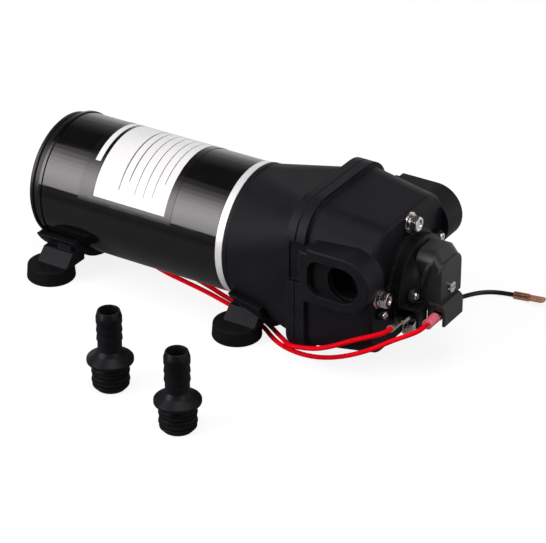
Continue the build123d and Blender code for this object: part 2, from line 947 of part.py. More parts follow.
def port_boss(side):
    low = port_inner_half if side > 0 else -port_face_half
    length = port_face_half - port_inner_half
    barrel = cross_rod(low, length, port_round, port_x, port_above_axis)
    bottom = port_above_axis - port_round
    top = port_above_axis + port_round
    tail = block(upper_flange_front + port_tail_setback, port_x, low, low + length, bottom, top)
    step_x = upper_flange_front + port_step_setback
    tail += block(step_x, port_x, low, low + length, bottom, top - port_step_drop)
    boss = barrel + tail
    outer = boss.faces().sort_by(Axis.Y)[-1 if side > 0 else 0]
    return fillet(outer.edges(), port_edge_round)


def port_cuts(side):
    outer = side * port_face_half
    bore_low = outer - port_bore_depth if side > 0 else outer - cut_over
    cut = cross_rod(bore_low, port_bore_depth + cut_over, port_bore_radius, port_x, port_above_axis)
    pocket_low = outer - port_pocket_depth if side > 0 else outer - cut_over
    back = block(
        port_x - port_pocket_length,
        port_x,
        pocket_low,
        pocket_low + port_pocket_depth + cut_over,
        port_above_axis - port_bore_radius,
        port_above_axis + port_bore_radius,
    )
    corners = back.edges().filter_by(Axis.Y).group_by(Axis.X)[0]
    cut += fillet(corners, port_pocket_round)
    return cut + slide_slot(side)


def slide_slot(side):
    slot_outer = port_face_half - port_pocket_depth
    low = slot_outer - slot_depth if side > 0 else -slot_outer
    slot = block(
        port_x - slot_run_back - 2 * cut_over,
        port_x + port_round,
        low,
        low + slot_depth,
        port_above_axis - slot_height / 2,
        port_above_axis + slot_height / 2,
    )
    return slot & round_ended(low, slot_depth, port_x, port_round - slot_wall)


def round_ended(low, depth, x, radius):
    # everything behind x, and ahead of it only what lies within the radius
    keep = cross_rod(low, depth, radius, x, port_above_axis)
    return keep + block(
        x - 2 * slide_back,
        x,
        low,
        low + depth,
        port_above_axis - radius,
        port_above_axis + radius,
    )


def flange_notch(side, x_low, x_high):
    low = flange_half_width - notch_depth if side > 0 else -flange_half_width - cut_over
    return block(
        x_low,
        x_high,
        low,
        low + notch_depth + cut_over,
        notch_bottom_above_axis,
        notch_top_above_axis,
    )


def make_upper_housing():
    body = head_body()
    for side in (-1, 1):
        body += port_boss(side)
    recess = diaphragm_section(upper_flange_rear - cut_over)
    body -= extrude(recess, valve_front - upper_flange_rear + cut_over)
    for y, z in quarter_places(housing_screw_circle):
        body += rod(upper_flange_rear, valve_front - upper_flange_rear, screw_boss_radius - seat_gap, y, z)
    depth = face_x - chamber_wall - valve_front
    body -= ring(valve_front - seat_gap, depth, inlet_chamber_outer, inlet_chamber_inner)
    groove = seal_wire / 2 + 2 * seat_gap
    body -= ring(valve_front - seat_gap, groove, inlet_chamber_outer + seal_wire, inlet_chamber_inner)
    sleeve = channel_radius + channel_wall
    body += cross_rod(-channel_wall, port_inner_half, sleeve, port_x, port_above_axis)
    body -= rod(valve_front - cut_over, depth + cut_over, outlet_chamber_radius)
    body -= cross_rod(0, port_inner_half, channel_radius, port_x, port_above_axis)
    near_run = port_inner_half - inlet_chamber_inner - channel_wall
    body -= cross_rod(-port_inner_half, near_run, channel_radius, port_x, port_above_axis)
    body -= rod(valve_front - cut_over, head_length + cut_over, pressure_duct_radius)
    for side in (-1, 1):
        body -= port_cuts(side)
        body -= flange_notch(side, upper_flange_rear - cut_over, upper_flange_front - seat_gap)
    for y, z in quarter_places(housing_screw_circle):
        body -= rod(upper_flange_rear - cut_over, 2 * head_length, housing_screw_clearance, y, z)
        body -= rod(face_x, 2 * cut_over + hex_height, spot_face_radius, y, z)
    for y, z in switch_lug_places():
        body -= rod(face_x - small_screw_length, small_screw_length + cut_over, small_screw_radius, y, z)
        body -= rod(face_x, 2 * cut_over, switch_lug_radius + free_gap, y, z)
    body -= rod(face_x - pressure_disc_thickness, 2 * cut_over, pressure_disc_radius)
    return body


def make_port_slide(side):
    outer = port_face_half - port_pocket_depth - (slot_depth - slide_thickness) / 2
    low = outer - slide_thickness if side > 0 else -outer
    plate = block(
        port_x - slide_back,
        port_x + slide_front,
        low,
        low + slide_thickness,
        port_above_axis - slide_width / 2,
        port_above_axis + slide_width / 2,
    )
    plate &= round_ended(low, slide_thickness, port_x - slide_travel, port_round - slot_wall - free_gap)
    corners = plate.edges().filter_by(Axis.Y).group_by(Axis.X)[0]
    plate = fillet(corners, (slide_width / 2 - slide_fork_radius) / 2)
    mouth = block(
        port_x,
        port_x + slide_front + cut_over,
        low - cut_over,
        low + slide_thickness + cut_over,
        port_above_axis - slide_fork_radius,
        port_above_axis + slide_fork_radius,
    )
    plate -= mouth
    return plate - cross_rod(
        low - cut_over,
        slide_thickness + 2 * cut_over,
        slide_fork_radius,
        port_x,
        port_above_axis,
    )


# Long housing screws with their washers
def screw_seat():
    return face_x + seat_gap


def make_housing_screws():
    screws = []
    head_x = screw_seat() + flat_washer_thickness + spring_washer_thickness + 2 * seat_gap
    for y, z in quarter_places(housing_screw_circle):
        shank = rod(head_x - housing_screw_grip, housing_screw_grip, housing_screw_radius, y, z)
        head = hexagon(head_x, hex_height, hex_across_flats, y, z)
        dish = rod(head_x + hex_height - hex_dish_depth, hex_dish_depth + cut_over, hex_dish_radius, y, z)
        screws.append(shank + (head - dish))
    return group(screws)


def make_flat_washers():
    size = (flat_washer_thickness, flat_washer_radius, housing_screw_clearance)
    return group(ring(screw_seat(), *size, y, z) for y, z in quarter_places(housing_screw_circle))


def make_spring_washers():
    x = screw_seat() + flat_washer_thickness + seat_gap
    size = (spring_washer_thickness, spring_washer_radius, housing_screw_clearance)
    return group(ring(x, *size, y, z) for y, z in quarter_places(housing_screw_circle))


# Pressure switch
def switch_lug_places():
    turns = [math.radians(switch_lug_angle + 180.0 * k) for k in range(2)]
    return [(switch_lug_circle * math.cos(t), switch_lug_circle * math.sin(t)) for t in turns]


def switch_shoulder():
    return face_x + seat_gap + switch_body_length


def switch_profile(grow=0.0):
    base = face_x + seat_gap
    shoulder = (switch_shoulder(), switch_body_radius + grow)
    nose = (shoulder[0] + switch_dome_length + grow, switch_nose_radius + grow)
    line = Polyline(
        (nose[0], 0),
        (base, 0),
        (base, switch_flange_radius + grow),
        (base + switch_flange_thickness, switch_flange_radius + grow),
        (base + switch_flange_thickness, shoulder[1]),
        shoulder,
    )
    dome = SagittaArc(shoulder, nose, dome_rise)
    return revolve(SIDE * make_face(line + dome + Line(nose, (nose[0], 0))), axis=AXIS)


def cover_ear_x():
    return switch_shoulder() + cover_ear_setback


def cover_ear(side, grow, reach):
    x = cover_ear_x() - grow
    y = side * cover_screw_out
    ear = rod(x, reach + grow, cover_ear_radius + grow, y, -cover_screw_drop)
    inner = side * (cover_half_width - cover_wall - grow)
    return ear + block(
        x,
        x + grow + reach,
        min(y, inner),
        max(y, inner),
        -cover_screw_drop - cover_ear_radius - grow,
        -cover_screw_drop + cover_ear_radius + grow,
    )


def make_switch_body():
    base = face_x + seat_gap
    body = switch_profile() + near_hood()
    for y, z in switch_lug_places():
        thickness = switch_flange_thickness - seat_gap
        lug = rod(base, thickness, switch_lug_radius, y, z)
        arm = block(base, base + thickness, 0, math.hypot(y, z), -switch_lug_radius, switch_lug_radius)
        body += lug + arm.rotate(AXIS, math.degrees(math.atan2(z, y)))
    for y, z in quarter_places(housing_screw_circle):
        body -= rod(base - cut_over, 4 * switch_flange_thickness, flat_washer_radius + free_gap, y, z)
    for y, z in switch_lug_places():
        body -= rod(base - cut_over, 2 * small_screw_length, small_screw_radius + seat_gap, y, z)
    for side in (-1, 1):
        body -= cover_ear(side, seat_gap, cover_front)
        hole_x = cover_ear_x() - small_screw_length
        body -= rod(hole_x, 2 * small_screw_length, small_screw_radius, side * cover_screw_out, -cover_screw_drop)
    body -= rod(base - cut_over, 2 * cover_front, plunger_radius + free_gap)
    body -= rod(base + switch_bore_shoulder, 2 * cover_front, switch_bore_radius)
    return body - finger_slot() - near_hood_room()


def plunger_finger_x():
    return face_x + plunger_length


def finger_slot():
    return block(
        face_x + plunger_length - 2 * free_gap,
        face_x + 2 * cover_front,
        -plunger_finger_width / 2 - free_gap,
        plunger_finger_width / 2 + free_gap,
        0,
        plunger_finger_height + free_gap,
    )


def make_pressure_disc():
    return rod(face_x - pressure_disc_thickness, pressure_disc_thickness, pressure_disc_radius - seat_gap)


def make_plunger():
    x = face_x + seat_gap
    stem = rod(x, plunger_length, plunger_radius)
    head_x = plunger_finger_x()
    head = rod(head_x, plunger_finger_thickness, switch_bore_radius - free_gap)
    finger = block(
        head_x,
        head_x + plunger_finger_thickness,
        -plunger_finger_width / 2,
        plunger_finger_width / 2,
        0,
        plunger_finger_height,
    )
    return stem + head + finger


def spring_start():
    return plunger_finger_x() + plunger_finger_thickness + seat_gap


def adjuster_start():
    return face_x + cover_front - adjuster_length + adjuster_slot_depth


def make_switch_spring():
    start = spring_start()
    length = adjuster_start() - free_gap - start
    coil = ring(start, length, spring_radius, spring_radius - spring_wire)
    pitch = length / spring_turns
    for k in range(spring_turns - 1):
        groove = ring(start + pitch * (k + 1) - spring_wire / 4, spring_wire / 2, spring_radius + cut_over, spring_radius - spring_wire / 2)
        coil -= groove
    return coil


def make_adjuster():
    start = adjuster_start()
    screw = rod(start, adjuster_length, adjuster_radius)
    end = start + adjuster_length
    screw -= block(
        end - adjuster_slot_depth,
        end + cut_over,
        -adjuster_radius - cut_over,
        adjuster_radius + cut_over,
        -adjuster_slot_width / 2,
        adjuster_slot_width / 2,
    )
    return screw


# Cover of the micro switch, with the two hoods over the terminals
def cover_form(rear, brow, cap, front, inset):
    # a tall rear part, a slope and the lower front cap
    tall = (
        cover_half_width - inset,
        cover_top - inset,
        cover_bottom - inset,
        cover_top_round - inset,
        cover_foot_round,
    )
    low = (
        cover_half_width - inset,
        cover_cap_top - inset,
        cover_bottom - inset,
        cover_cap_round - inset,
        cover_foot_round,
    )
    slope = loft([section(brow, *tall), section(cap, *low)])
    face = extrude(section(cap, *low), front - cap)
    if inset == 0:
        face = fillet(face.faces().sort_by(Axis.X)[-1].edges(), cover_edge_round)
    return extrude(section(rear, *tall), brow - rear) + slope + face


def cover_shell():
    rear = face_x + cover_back
    stations = (rear, face_x + cover_brow_back, face_x + cover_cap_back, face_x + cover_front)
    start = rear + cover_fin_setback
    fin = block(
        start,
        start + cover_fin_width,
        -cover_half_width - cover_fin_height,
        cover_half_width + cover_fin_height,
        free_gap - near_hood_top,
        cover_top - cover_fin_height,
    )
    top = fin.edges().filter_by(Axis.X).group_by(Axis.Z)[-1]
    fin = fillet(top, cover_top_round)
    hinge = Axis((start, 0, axis_height), (0, 1, 0))
    return cover_form(*stations, 0) + fin.rotate(hinge, cover_fin_lean)


def cover_room():
    rear = face_x + cover_back - cut_over
    front = face_x + cover_front - cover_wall
    drop = cover_wall / 2
    return cover_form(rear, face_x + cover_brow_back - drop, front - drop, front, cover_wall)


def near_hood():
    x = face_x + near_hood_back
    inner = -near_hood_inner + hood_wall / 2
    hood = block(x, x + near_hood_length, -near_hood_outer, inner, -near_hood_bottom, -near_hood_top)
    corners = hood.edges().filter_by(Axis.Z).group_by(Axis.Y)[0]
    return fillet(corners, hood_wall / 2)


def near_hood_room():
    x = face_x + near_hood_back
    return block(
        x + hood_wall,
        x + near_hood_length - hood_wall,
        -near_hood_outer - cut_over,
        -near_hood_inner,
        -near_hood_bottom - cut_over,
        -near_hood_top - hood_wall,
    )


def front_hood():
    front = face_x + front_hood_front
    back = front - front_hood_length
    hood = block(
        back,
        front,
        -front_hood_near,
        front_hood_far,
        -front_hood_bottom,
        -cover_bottom + hood_wall,
    )
    top = hood.edges().filter_by(Axis.Y).group_by(Axis.Z)[-1].sort_by(Axis.X)[-1]
    hood = chamfer(top, front_hood_top - cover_bottom + hood_wall)
    hood -= block(
        back + hood_wall,
        front - hood_wall,
        -front_hood_near - cut_over,
        front_hood_far - hood_wall,
        -front_hood_bottom - cut_over,
        -front_hood_top - hood_wall,
    )
    return hood


def make_switch_cover():
    cover = cover_shell() + front_hood()
    cover -= switch_profile(seat_gap)
    for side in (-1, 1):
        cover += cover_ear(side, 0.0, cover_ear_thickness)
        riser = side * (cover_half_width - cover_wall)
        outer = side * cover_half_width
        cover += block(
            cover_ear_x(),
            switch_shoulder() + switch_dome_length + cover_wall,
            min(riser, outer),
            max(riser, outer),
            -cover_screw_drop - cover_ear_radius,
            -cover_screw_drop + cover_ear_radius,
        )
        hole = small_screw_radius + seat_gap
        y = side * cover_screw_out
        cover -= rod(cover_ear_x() - cut_over, cover_front, hole, y, -cover_screw_drop)
    cover -= rod(face_x, 2 * cover_front, adjuster_radius + running_gap)
    return cover - cover_room()


def micro_x():
    return face_x + cover_front - cover_wall - seat_gap - micro_depth


def make_micro_switch():
    x = micro_x()
    top = cover_cap_top - cover_wall - 2 * seat_gap
    body = block(x, x + micro_depth, -micro_width / 2, micro_width / 2, top - micro_height, top)
    place = plunger_finger_height - plunger_finger_thickness
    body -= rod(x - cut_over, cut_over + micro_button_length, micro_button_radius + free_gap, 0, place)
    return body


def make_micro_button():
    place = plunger_finger_height - plunger_finger_thickness
    start = plunger_finger_x() + plunger_finger_thickness + free_gap
    return rod(start, micro_x() - start + seat_gap, micro_button_radius, 0, place)


# Blades of the switch, under the two hoods, and the small screws
def near_blade_x():
    return face_x + near_hood_back + hood_wall + free_gap + crimp_blade_width / 2


def front_blade_x():
    return face_x + front_hood_front - hood_wall - free_gap - crimp_blade_width / 2


def make_terminals():
    near = (near_blade_x(), -near_hood_outer, -near_hood_inner, near_blade_drop)
    front = (front_blade_x(), -front_hood_near, front_hood_far - hood_wall, front_blade_drop)
    half = blade_width / 2
    blades = []
    for x, outer, root, drop in (near, front):
        blades.append(block(x - half, x + half, outer - blade_reach, root, -drop - blade_thickness, -drop))
    return group(blades)


def pan_screw(x, y, z):
    screw = rod(x - small_screw_length + seat_gap, small_screw_length, small_screw_radius - seat_gap / 2, y, z)
    head = rod(x + seat_gap, small_screw_head_height, small_screw_head_radius, y, z)
    top = head.faces().sort_by(Axis.X)[-1]
    head = fillet(top.edges(), small_screw_head_height / 2)
    for turn in (45.0, 135.0):
        slot = block(
            x + small_screw_head_height / 2,
            x + 2 * small_screw_head_height,
            -small_screw_head_radius * 2 / 3,
            small_screw_head_radius * 2 / 3,
            -small_screw_cross / 2,
            small_screw_cross / 2,
        )
        slot = slot.rotate(AXIS, turn)
        head -= Pos(0, y, z) * slot
    return screw + head


def make_switch_screws():
    lug_x = face_x + switch_flange_thickness + seat_gap
    cover_x = cover_ear_x() + cover_ear_thickness
    screws = [pan_screw(lug_x, y, z) for y, z in switch_lug_places()]
    for side in (-1, 1):
        screws.append(pan_screw(cover_x, side * cover_screw_out, -cover_screw_drop))
    return group(screws)


# Feet: a cradle under each end, rubber pads and their steel bushes
def arm_profile():
    # a thin tip, a slope at half a right angle and a level top that runs into the cradle
    tip_y = foot_spacing_y / 2 + arm_tip_reach
    low = foot_top + seat_gap
    tip_top = low + arm_tip_height
    top = max(-arm_top_drop, tip_top + arm_least_rise)
    slope_y = tip_y - (top - tip_top)
    return ((0, low), (-tip_y, low), (-tip_y, tip_top), (-slope_y, top), (0, top))


def cradle_keep(x_low, length):
    rise = can_radius * math.cos(math.radians(rear_cradle_arc))
    return block(x_low, x_low + length, -2 * can_radius, 2 * can_radius, -2 * can_radius, -rise)


def make_cradle(x_low, length, arm_x, outer, inner):
    cradle = outer & cradle_keep(x_low, length)
    profile = make_face(Polyline(*arm_profile(), close=True))
    arm = extrude(across(arm_x + arm_ahead - arm_width / 2) * profile, arm_width)
    tips = arm.edges().filter_by(Axis.Z).group_by(Axis.Y)[0]
    arm = fillet(tips, arm_tip_round)
    room = block(
        arm_x - arm_width,
        arm_x + arm_ahead + arm_width,
        -arm_root_half,
        arm_root_half,
        -axis_height,
        0,
    )
    arms = arm + mirror(arm, Plane.XZ)
    cradle += arms - (room - outer)
    cradle -= inner
    for side in (-1, 1):
        y = side * foot_spacing_y / 2
        cradle -= upright(0, foot_height + bush_stand + seat_gap, bush_radius + seat_gap, arm_x, y)
        cradle -= upright(0, foot_height + seat_gap, foot_radius + free_gap, arm_x, y)
    return cradle


def make_rear_cradle():
    arm_x = -foot_spacing_x / 2
    stop_x = can_rear - seat_gap - stop_thickness
    length = rear_cradle_length + stop_thickness
    inner_radius = can_radius + cradle_gap
    outer = rod(stop_x, length, inner_radius + cradle_thickness)
    inner = rod(can_rear - seat_gap, length, inner_radius)
    inner += rod(stop_x - cut_over, length, end_cap_radius + cradle_gap)
    lip = can_lip_width + 2 * seat_gap
    inner += rod(can_rear - seat_gap, lip, can_radius + can_lip_height + cradle_gap)
    cradle = make_cradle(stop_x, length, arm_x, outer, inner)
    clip_x = arm_x + clip_ahead
    for side in (-1, 1):
        clip = block(
            clip_x - clip_length / 2,
            clip_x + clip_length / 2,
            min(side * clip_inner, side * clip_outer),
            max(side * clip_inner, side * clip_outer),
            -clip_drop - clip_height / 2,
            -clip_drop + clip_height / 2,
        )
        cradle += clip - inner
    return cradle


def make_front_cradle():
    x_low = plate_front + rear_bead_width + seat_gap
    outer = housing_hull(cradle_gap + cradle_thickness, plate_front, flange_rear)
    inner = housing_hull(cradle_gap, plate_front, flange_rear)
    bead = can_radius + rear_bead_height + cradle_gap
    inner += rod(can_front, plate_thickness + rear_bead_width + seat_gap, bead)
    return make_cradle(x_low, front_cradle_length, foot_spacing_x / 2, outer, inner)


def foot_places():
    xs = (-foot_spacing_x / 2, foot_spacing_x / 2)
    ys = (-foot_spacing_y / 2, foot_spacing_y / 2)
    return [(x, y) for x in xs for y in ys]


def make_feet():
    feet = []
    for x, y in foot_places():
        base = (Align.CENTER, Align.CENTER, Align.MIN)
        pad = Pos(x, y, 0) * Cone(foot_radius, foot_top_radius, foot_height, align=base)
        pad = fillet(pad.edges().filter_by(GeomType.CIRCLE), foot_round)
        pad -= upright(-cut_over, foot_height + 2 * cut_over, bush_radius, x, y)
        feet.append(pad)
    return group(feet)


def make_foot_bushes():
    bushes = []
    for x, y in foot_places():
        height = foot_height + bush_stand
        bush = upright(0, height, bush_radius, x, y)
        bushes.append(bush - upright(-cut_over, height + 2 * cut_over, bush_bore_radius, x, y))
    return group(bushes)


# Hose fittings with their seal rings
def fitting_profile():
    collar_low = fitting_collar_height - fitting_collar_thickness
    points = [(fitting_bore_radius, 0), (fitting_nose_radius, 0), (fitting_land_radius, fitting_nose_height)]
    for height in fitting_ring_heights:
        low = height - fitting_groove_width / 2
        high = height + fitting_groove_width / 2
        points += [(fitting_land_radius, low), (fitting_groove_radius, low)]
        points += [(fitting_groove_radius, high), (fitting_land_radius, high)]
    neck = collar_low - fitting_neck_width
    points += [(fitting_land_radius, neck), (fitting_neck_radius, neck), (fitting_neck_radius, collar_low)]
    points += [(fitting_collar_radius, collar_low), (fitting_collar_radius, fitting_collar_height)]
    cone = fitting_collar_height + fitting_cone_height
    points += [(fitting_barb_root, cone)]
    for k in range(fitting_barb_count):
        low = fitting_barb_start + k * fitting_barb_pitch
        points += [(fitting_barb_root, low), (fitting_barb_crest, low)]
    points += [(fitting_barb_root, fitting_height), (fitting_bore_radius, fitting_height)]
    return points


def make_fitting(x, y):
    face = Plane.XZ * make_face(Polyline(*fitting_profile(), close=True))
    return Pos(x, y, 0) * revolve(face, axis=Axis.Z)


def make_fitting_rings(x, y):
    rings = []
    middle = (fitting_ring_radius + fitting_groove_radius + seat_gap / 2) / 2
    wire = (fitting_ring_radius - fitting_groove_radius - seat_gap / 2) / 2
    for height in fitting_ring_heights:
        rings.append(Pos(x, y, height) * Torus(middle, wire))
    return group(rings)


# Leads: tubes along hand-placed points, rounded as far as their runs allow
def lead_path(points):
    spots = [Vector(*p) for p in points]
    radii = []
    for before, spot, after in zip(spots, spots[1:], spots[2:]):
        turn = math.radians((spot - before).get_angle(after - spot))
        run = min((spot - before).length, (after - spot).length)
        radii.append(lead_bend_share * run / math.tan(turn / 2))
    return FilletPolyline(*spots, radius=radii), radii


def make_lead(name, points):
    path, radii = lead_path(points)
    mouth = Plane(origin=path @ 0, z_dir=path % 0)
    tube = sweep(mouth * Circle(lead_diameter / 2), path=path)
    area = math.pi * lead_diameter**2 / 4
    share = tube.volume / (area * path.length)
    print(name, "length", round(path.length, 1), "least radius", round(min(radii), 1), "volume share", round(share, 4))
    print(name, "radii", [round(r, 1) for r in radii])
    return tube, path


def grommet_tip(index, out=0.0):
    frame = lead_frame(index)
    tip = frame.origin + frame.z_dir * (can_wall + seat_gap + grommet_stand + out)
    return (tip.X, tip.Y, tip.Z)


def blade_level(drop):
    return axis_height - drop - blade_thickness / 2


def barrel_end(outer):
    # where a lead meets the barrel of the terminal on a blade that ends at this y
    return outer - blade_reach - crimp_wall - seat_gap - crimp_length


def make_receptacle(x, outer, drop):
    base = (Align.CENTER, Align.CENTER, Align.MIN)
    barrel = Cylinder(crimp_radius, crimp_length, align=base)
    height = blade_thickness + 2 * seat_gap + 2 * crimp_wall
    shell = Box(crimp_blade_width, height, crimp_blade_length, align=base)
    room = Box(blade_width + 2 * seat_gap, blade_thickness + 2 * seat_gap, crimp_blade_length, align=base)
    terminal = barrel + Pos(0, 0, crimp_length) * shell
    terminal -= Pos(0, 0, crimp_length + crimp_wall) * room
    place = Plane(origin=(x, barrel_end(outer), blade_level(drop)), x_dir=(1, 0, 0), z_dir=(0, 1, 0))
    return place * terminal


def make_spade(path):
    base = (Align.CENTER, Align.CENTER, Align.MIN)
    barrel = Cylinder(crimp_radius, crimp_length, align=base)
    tongue = Box(crimp_blade_width, blade_thickness, spade_length, align=base)
    tips = tongue.edges().filter_by(Axis.Y).group_by(Axis.Z)[-1]
    tongue = Pos(0, 0, crimp_length) * chamfer(tips, crimp_blade_width / 4)
    flat = (path % 1).cross(Vector(0, 0, 1))
    return Plane(origin=path @ 1, x_dir=flat, z_dir=path % 1) * (barrel + tongue)


# Routes of the leads
floor_level = lead_diameter / 2
end_level = crimp_radius
exit_run = 5.0
near_end = (near_blade_x(), barrel_end(-near_hood_outer), blade_level(near_blade_drop))
front_end = (front_blade_x(), barrel_end(-front_hood_near), blade_level(front_blade_drop))
motor_lead_route = [
    grommet_tip(0),
    grommet_tip(0, exit_run),
    (-18.2, 27.2, 4.6),
    (-15.0, 23.4, 1.7),
    (-11.2, 17.2, floor_level),
    (-6.2, 10.2, floor_level),
    (2.5, 3.6, floor_level),
    (19.7, -1.1, floor_level),
    (36.6, -7.2, floor_level),
    (53.5, -12.0, floor_level),
    (65.4, -16.4, floor_level),
    (75.5, -21.8, floor_level),
    (84.3, -28.4, 2.2),
    (92.3, -36.4, 6.0),
    (100.4, -45.3, 9.6),
    (108.6, -46.6, 11.4),
    (118.0, -46.4, 13.4),
    (127.6, -45.1, 17.4),
    (138.8, -43.1, 23.7),
    (148.4, -41.7, 28.2),
    (near_end[0], near_end[1] - exit_run, near_end[2]),
    near_end,
]
supply_lead_route = [
    front_end,
    (front_end[0], front_end[1] - exit_run, front_end[2]),
    (170.4, -33.6, 33.0),
    (160.5, -37.6, 27.8),
    (148.5, -40.4, 19.6),
    (134.5, -40.6, 11.4),
    (121.0, -39.7, 5.4),
    (109.0, -38.2, 2.0),
    (98.4, -37.4, floor_level),
    (88.4, -34.9, floor_level),
    (80.2, -30.2, floor_level),
    (71.2, -23.4, floor_level),
    (60.4, -18.8, floor_level),
    (49.0, -15.0, floor_level),
    (35.8, -11.2, floor_level),
    (22.0, -7.4, floor_level),
    (6.0, -4.2, floor_level),
    (-8.2, -1.4, floor_level),
    (-20.6, 2.6, floor_level),
    (-30.8, 9.6, floor_level),
    (-37.4, 19.6, floor_level),
    (-40.2, 31.2, floor_level),
    (-38.8, 42.8, 1.6),
    (-34.2, 53.0, end_level),
]
black_lead_route = [
    grommet_tip(1),
    grommet_tip(1, exit_run),
    (-24.4, 28.8, 4.7),
    (-21.2, 30.2, 1.8),
    (-15.2, 28.4, floor_level),
    (-5.0, 24.0, floor_level),
    (9.8, 19.2, floor_level),
    (27.0, 16.2, floor_level),
    (46.0, 14.8, floor_level),
    (66.0, 15.3, floor_level),
    (91.5, 19.5, floor_level),
    (113.6, 26.4, floor_level),
    (129.4, 34.2, floor_level),
    (138.6, 43.0, floor_level),
    (144.0, 54.2, floor_level),
    (148.8, 65.6, floor_level),
    (155.2, 74.2, floor_level),
    (163.8, 78.4, 1.6),
    (172.2, 79.0, end_level),
]


def make_sleeve():
    radius = crimp_radius + seat_gap
    y = barrel_end(-front_hood_near)
    z = front_end[2] - axis_height
    tube = cross_rod(y, sleeve_length, radius + sleeve_wall, front_blade_x(), z)
    return tube - cross_rod(y - cut_over, 2 * sleeve_length, radius, front_blade_x(), z)


# Every piece, by the name of its file
def make_all():
    inner = bearing_inner(rear_bearing_x, bearing_width, bearing_split_radius, shaft_radius)
    front_inner = bearing_inner(front_bearing_x, bearing_width, bearing_split_radius, shaft_radius)
    ring_x = nod_x - drive_ring_width / 2
    drive_inner = tilted(bearing_inner(ring_x, drive_ring_width, drive_split_radius, journal_radius))
    outers = [
        bearing_outer(rear_bearing_x, bearing_width, bearing_radius, bearing_split_radius),
        bearing_outer(front_bearing_x, bearing_width, bearing_radius, bearing_split_radius),
    ]
    sides = (0.0, 180.0)
    parts["motor_can"] = make_can()
    parts["motor_end_cap"] = make_end_cap()
    parts["motor_front_plate"] = make_front_plate()
    parts["motor_magnets"] = make_magnets()
    parts["motor_through_bolts"] = make_through_bolts()
    parts["lead_grommets"] = group(make_grommet(k) for k in range(2))
    parts["rotor_core"] = make_rotor_core()
    parts["rotor_windings"] = make_windings()
    parts["commutator"] = make_commutator()
    parts["motor_shaft"] = make_shaft()
    parts["bearing_inner_rings"] = group((inner, front_inner, drive_inner))
    parts["bearing_outer_rings"] = group(outers)
    parts["brush_plate"] = make_brush_plate()
    parts["brush_boxes"] = group(make_brush_box(side) for side in sides)
    parts["carbon_brushes"] = group(make_brush(side) for side in sides)
    parts["brush_springs"] = group(make_brush_spring(side) for side in sides)
    parts["drive_hub"] = make_hub()
    parts["hub_set_screw"] = make_set_screw()
    parts["drive_ring_outer"] = tilted(bearing_outer(ring_x, drive_ring_width, drive_ring_radius, drive_split_radius))
    parts["nodding_plate"] = make_nod_plate()
    parts["piston_caps"] = make_piston_caps()
    parts["piston_screws"] = make_piston_screws()
    parts["diaphragm"] = make_diaphragm()
    parts["valve_plate"] = make_valve_plate()
    parts["inlet_valves"] = make_inlet_valves()
    parts["outlet_valve"] = make_outlet_valve()
    parts["head_seal"] = make_head_seal()
    parts["lower_housing"] = make_lower_housing()
    parts["upper_housing"] = make_upper_housing()
    parts["port_slide_near"] = make_port_slide(-1)
    parts["port_slide_far"] = make_port_slide(1)
    parts["housing_screws"] = make_housing_screws()
    parts["flat_washers"] = make_flat_washers()
    parts["spring_washers"] = make_spring_washers()
    parts["switch_body"] = make_switch_body()
    parts["switch_diaphragm"] = make_pressure_disc()
    parts["switch_plunger"] = make_plunger()
    parts["switch_spring"] = make_switch_spring()
    parts["switch_cover"] = make_switch_cover()
    parts["micro_switch"] = make_micro_switch()
    parts["micro_switch_button"] = make_micro_button()
    parts["adjuster_screw"] = make_adjuster()
    parts["switch_terminals"] = make_terminals()
    parts["switch_screws"] = make_switch_screws()
    parts["rear_cradle"] = make_rear_cradle()
    parts["front_cradle"] = make_front_cradle()
    parts["rubber_feet"] = make_feet()
    parts["foot_bushes"] = make_foot_bushes()
    for name, place in zip(("left", "right"), fitting_places):
        parts["hose_fitting_" + name] = make_fitting(*place)
        parts["fitting_rings_" + name] = make_fitting_rings(*place)
    parts["motor_lead_red"], path = make_lead("motor_lead_red", motor_lead_route)
    parts["supply_lead_red"], path = make_lead("supply_lead_red", supply_lead_route)
    parts["supply_lead_end"] = make_spade(path)
    parts["motor_lead_black"], path = make_lead("motor_lead_black", black_lead_route)
    parts["black_lead_end"] = make_spade(path)
    near = make_receptacle(near_blade_x(), -near_hood_outer, near_blade_drop)
    front = make_receptacle(front_blade_x(), -front_hood_near, front_blade_drop)
    parts["lead_receptacles"] = group((near, front))
    parts["supply_lead_sleeve"] = make_sleeve()


make_all()
for name, shape in parts.items():
    export_step(shape, "parts/" + name + ".step")
print(len(parts), "pieces written")
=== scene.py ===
# %% [markdown]
# # A caravan water pump
# The pump lies on its four rubber feet, with two hose fittings standing in front of it.
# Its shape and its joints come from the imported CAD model. This lesson gives each piece the
# finish that it has in the hand: gloss paint on the motor, moulded plastic on the head,
# plated screws, and wires that lie on the table under their own weight. A few pieces are
# made anew where the real ones have soft edges or a finer form: the screws with their
# washers, the hose fittings with their seal rings, the label round the motor, the switch
# spring and the rear cradle.

import math

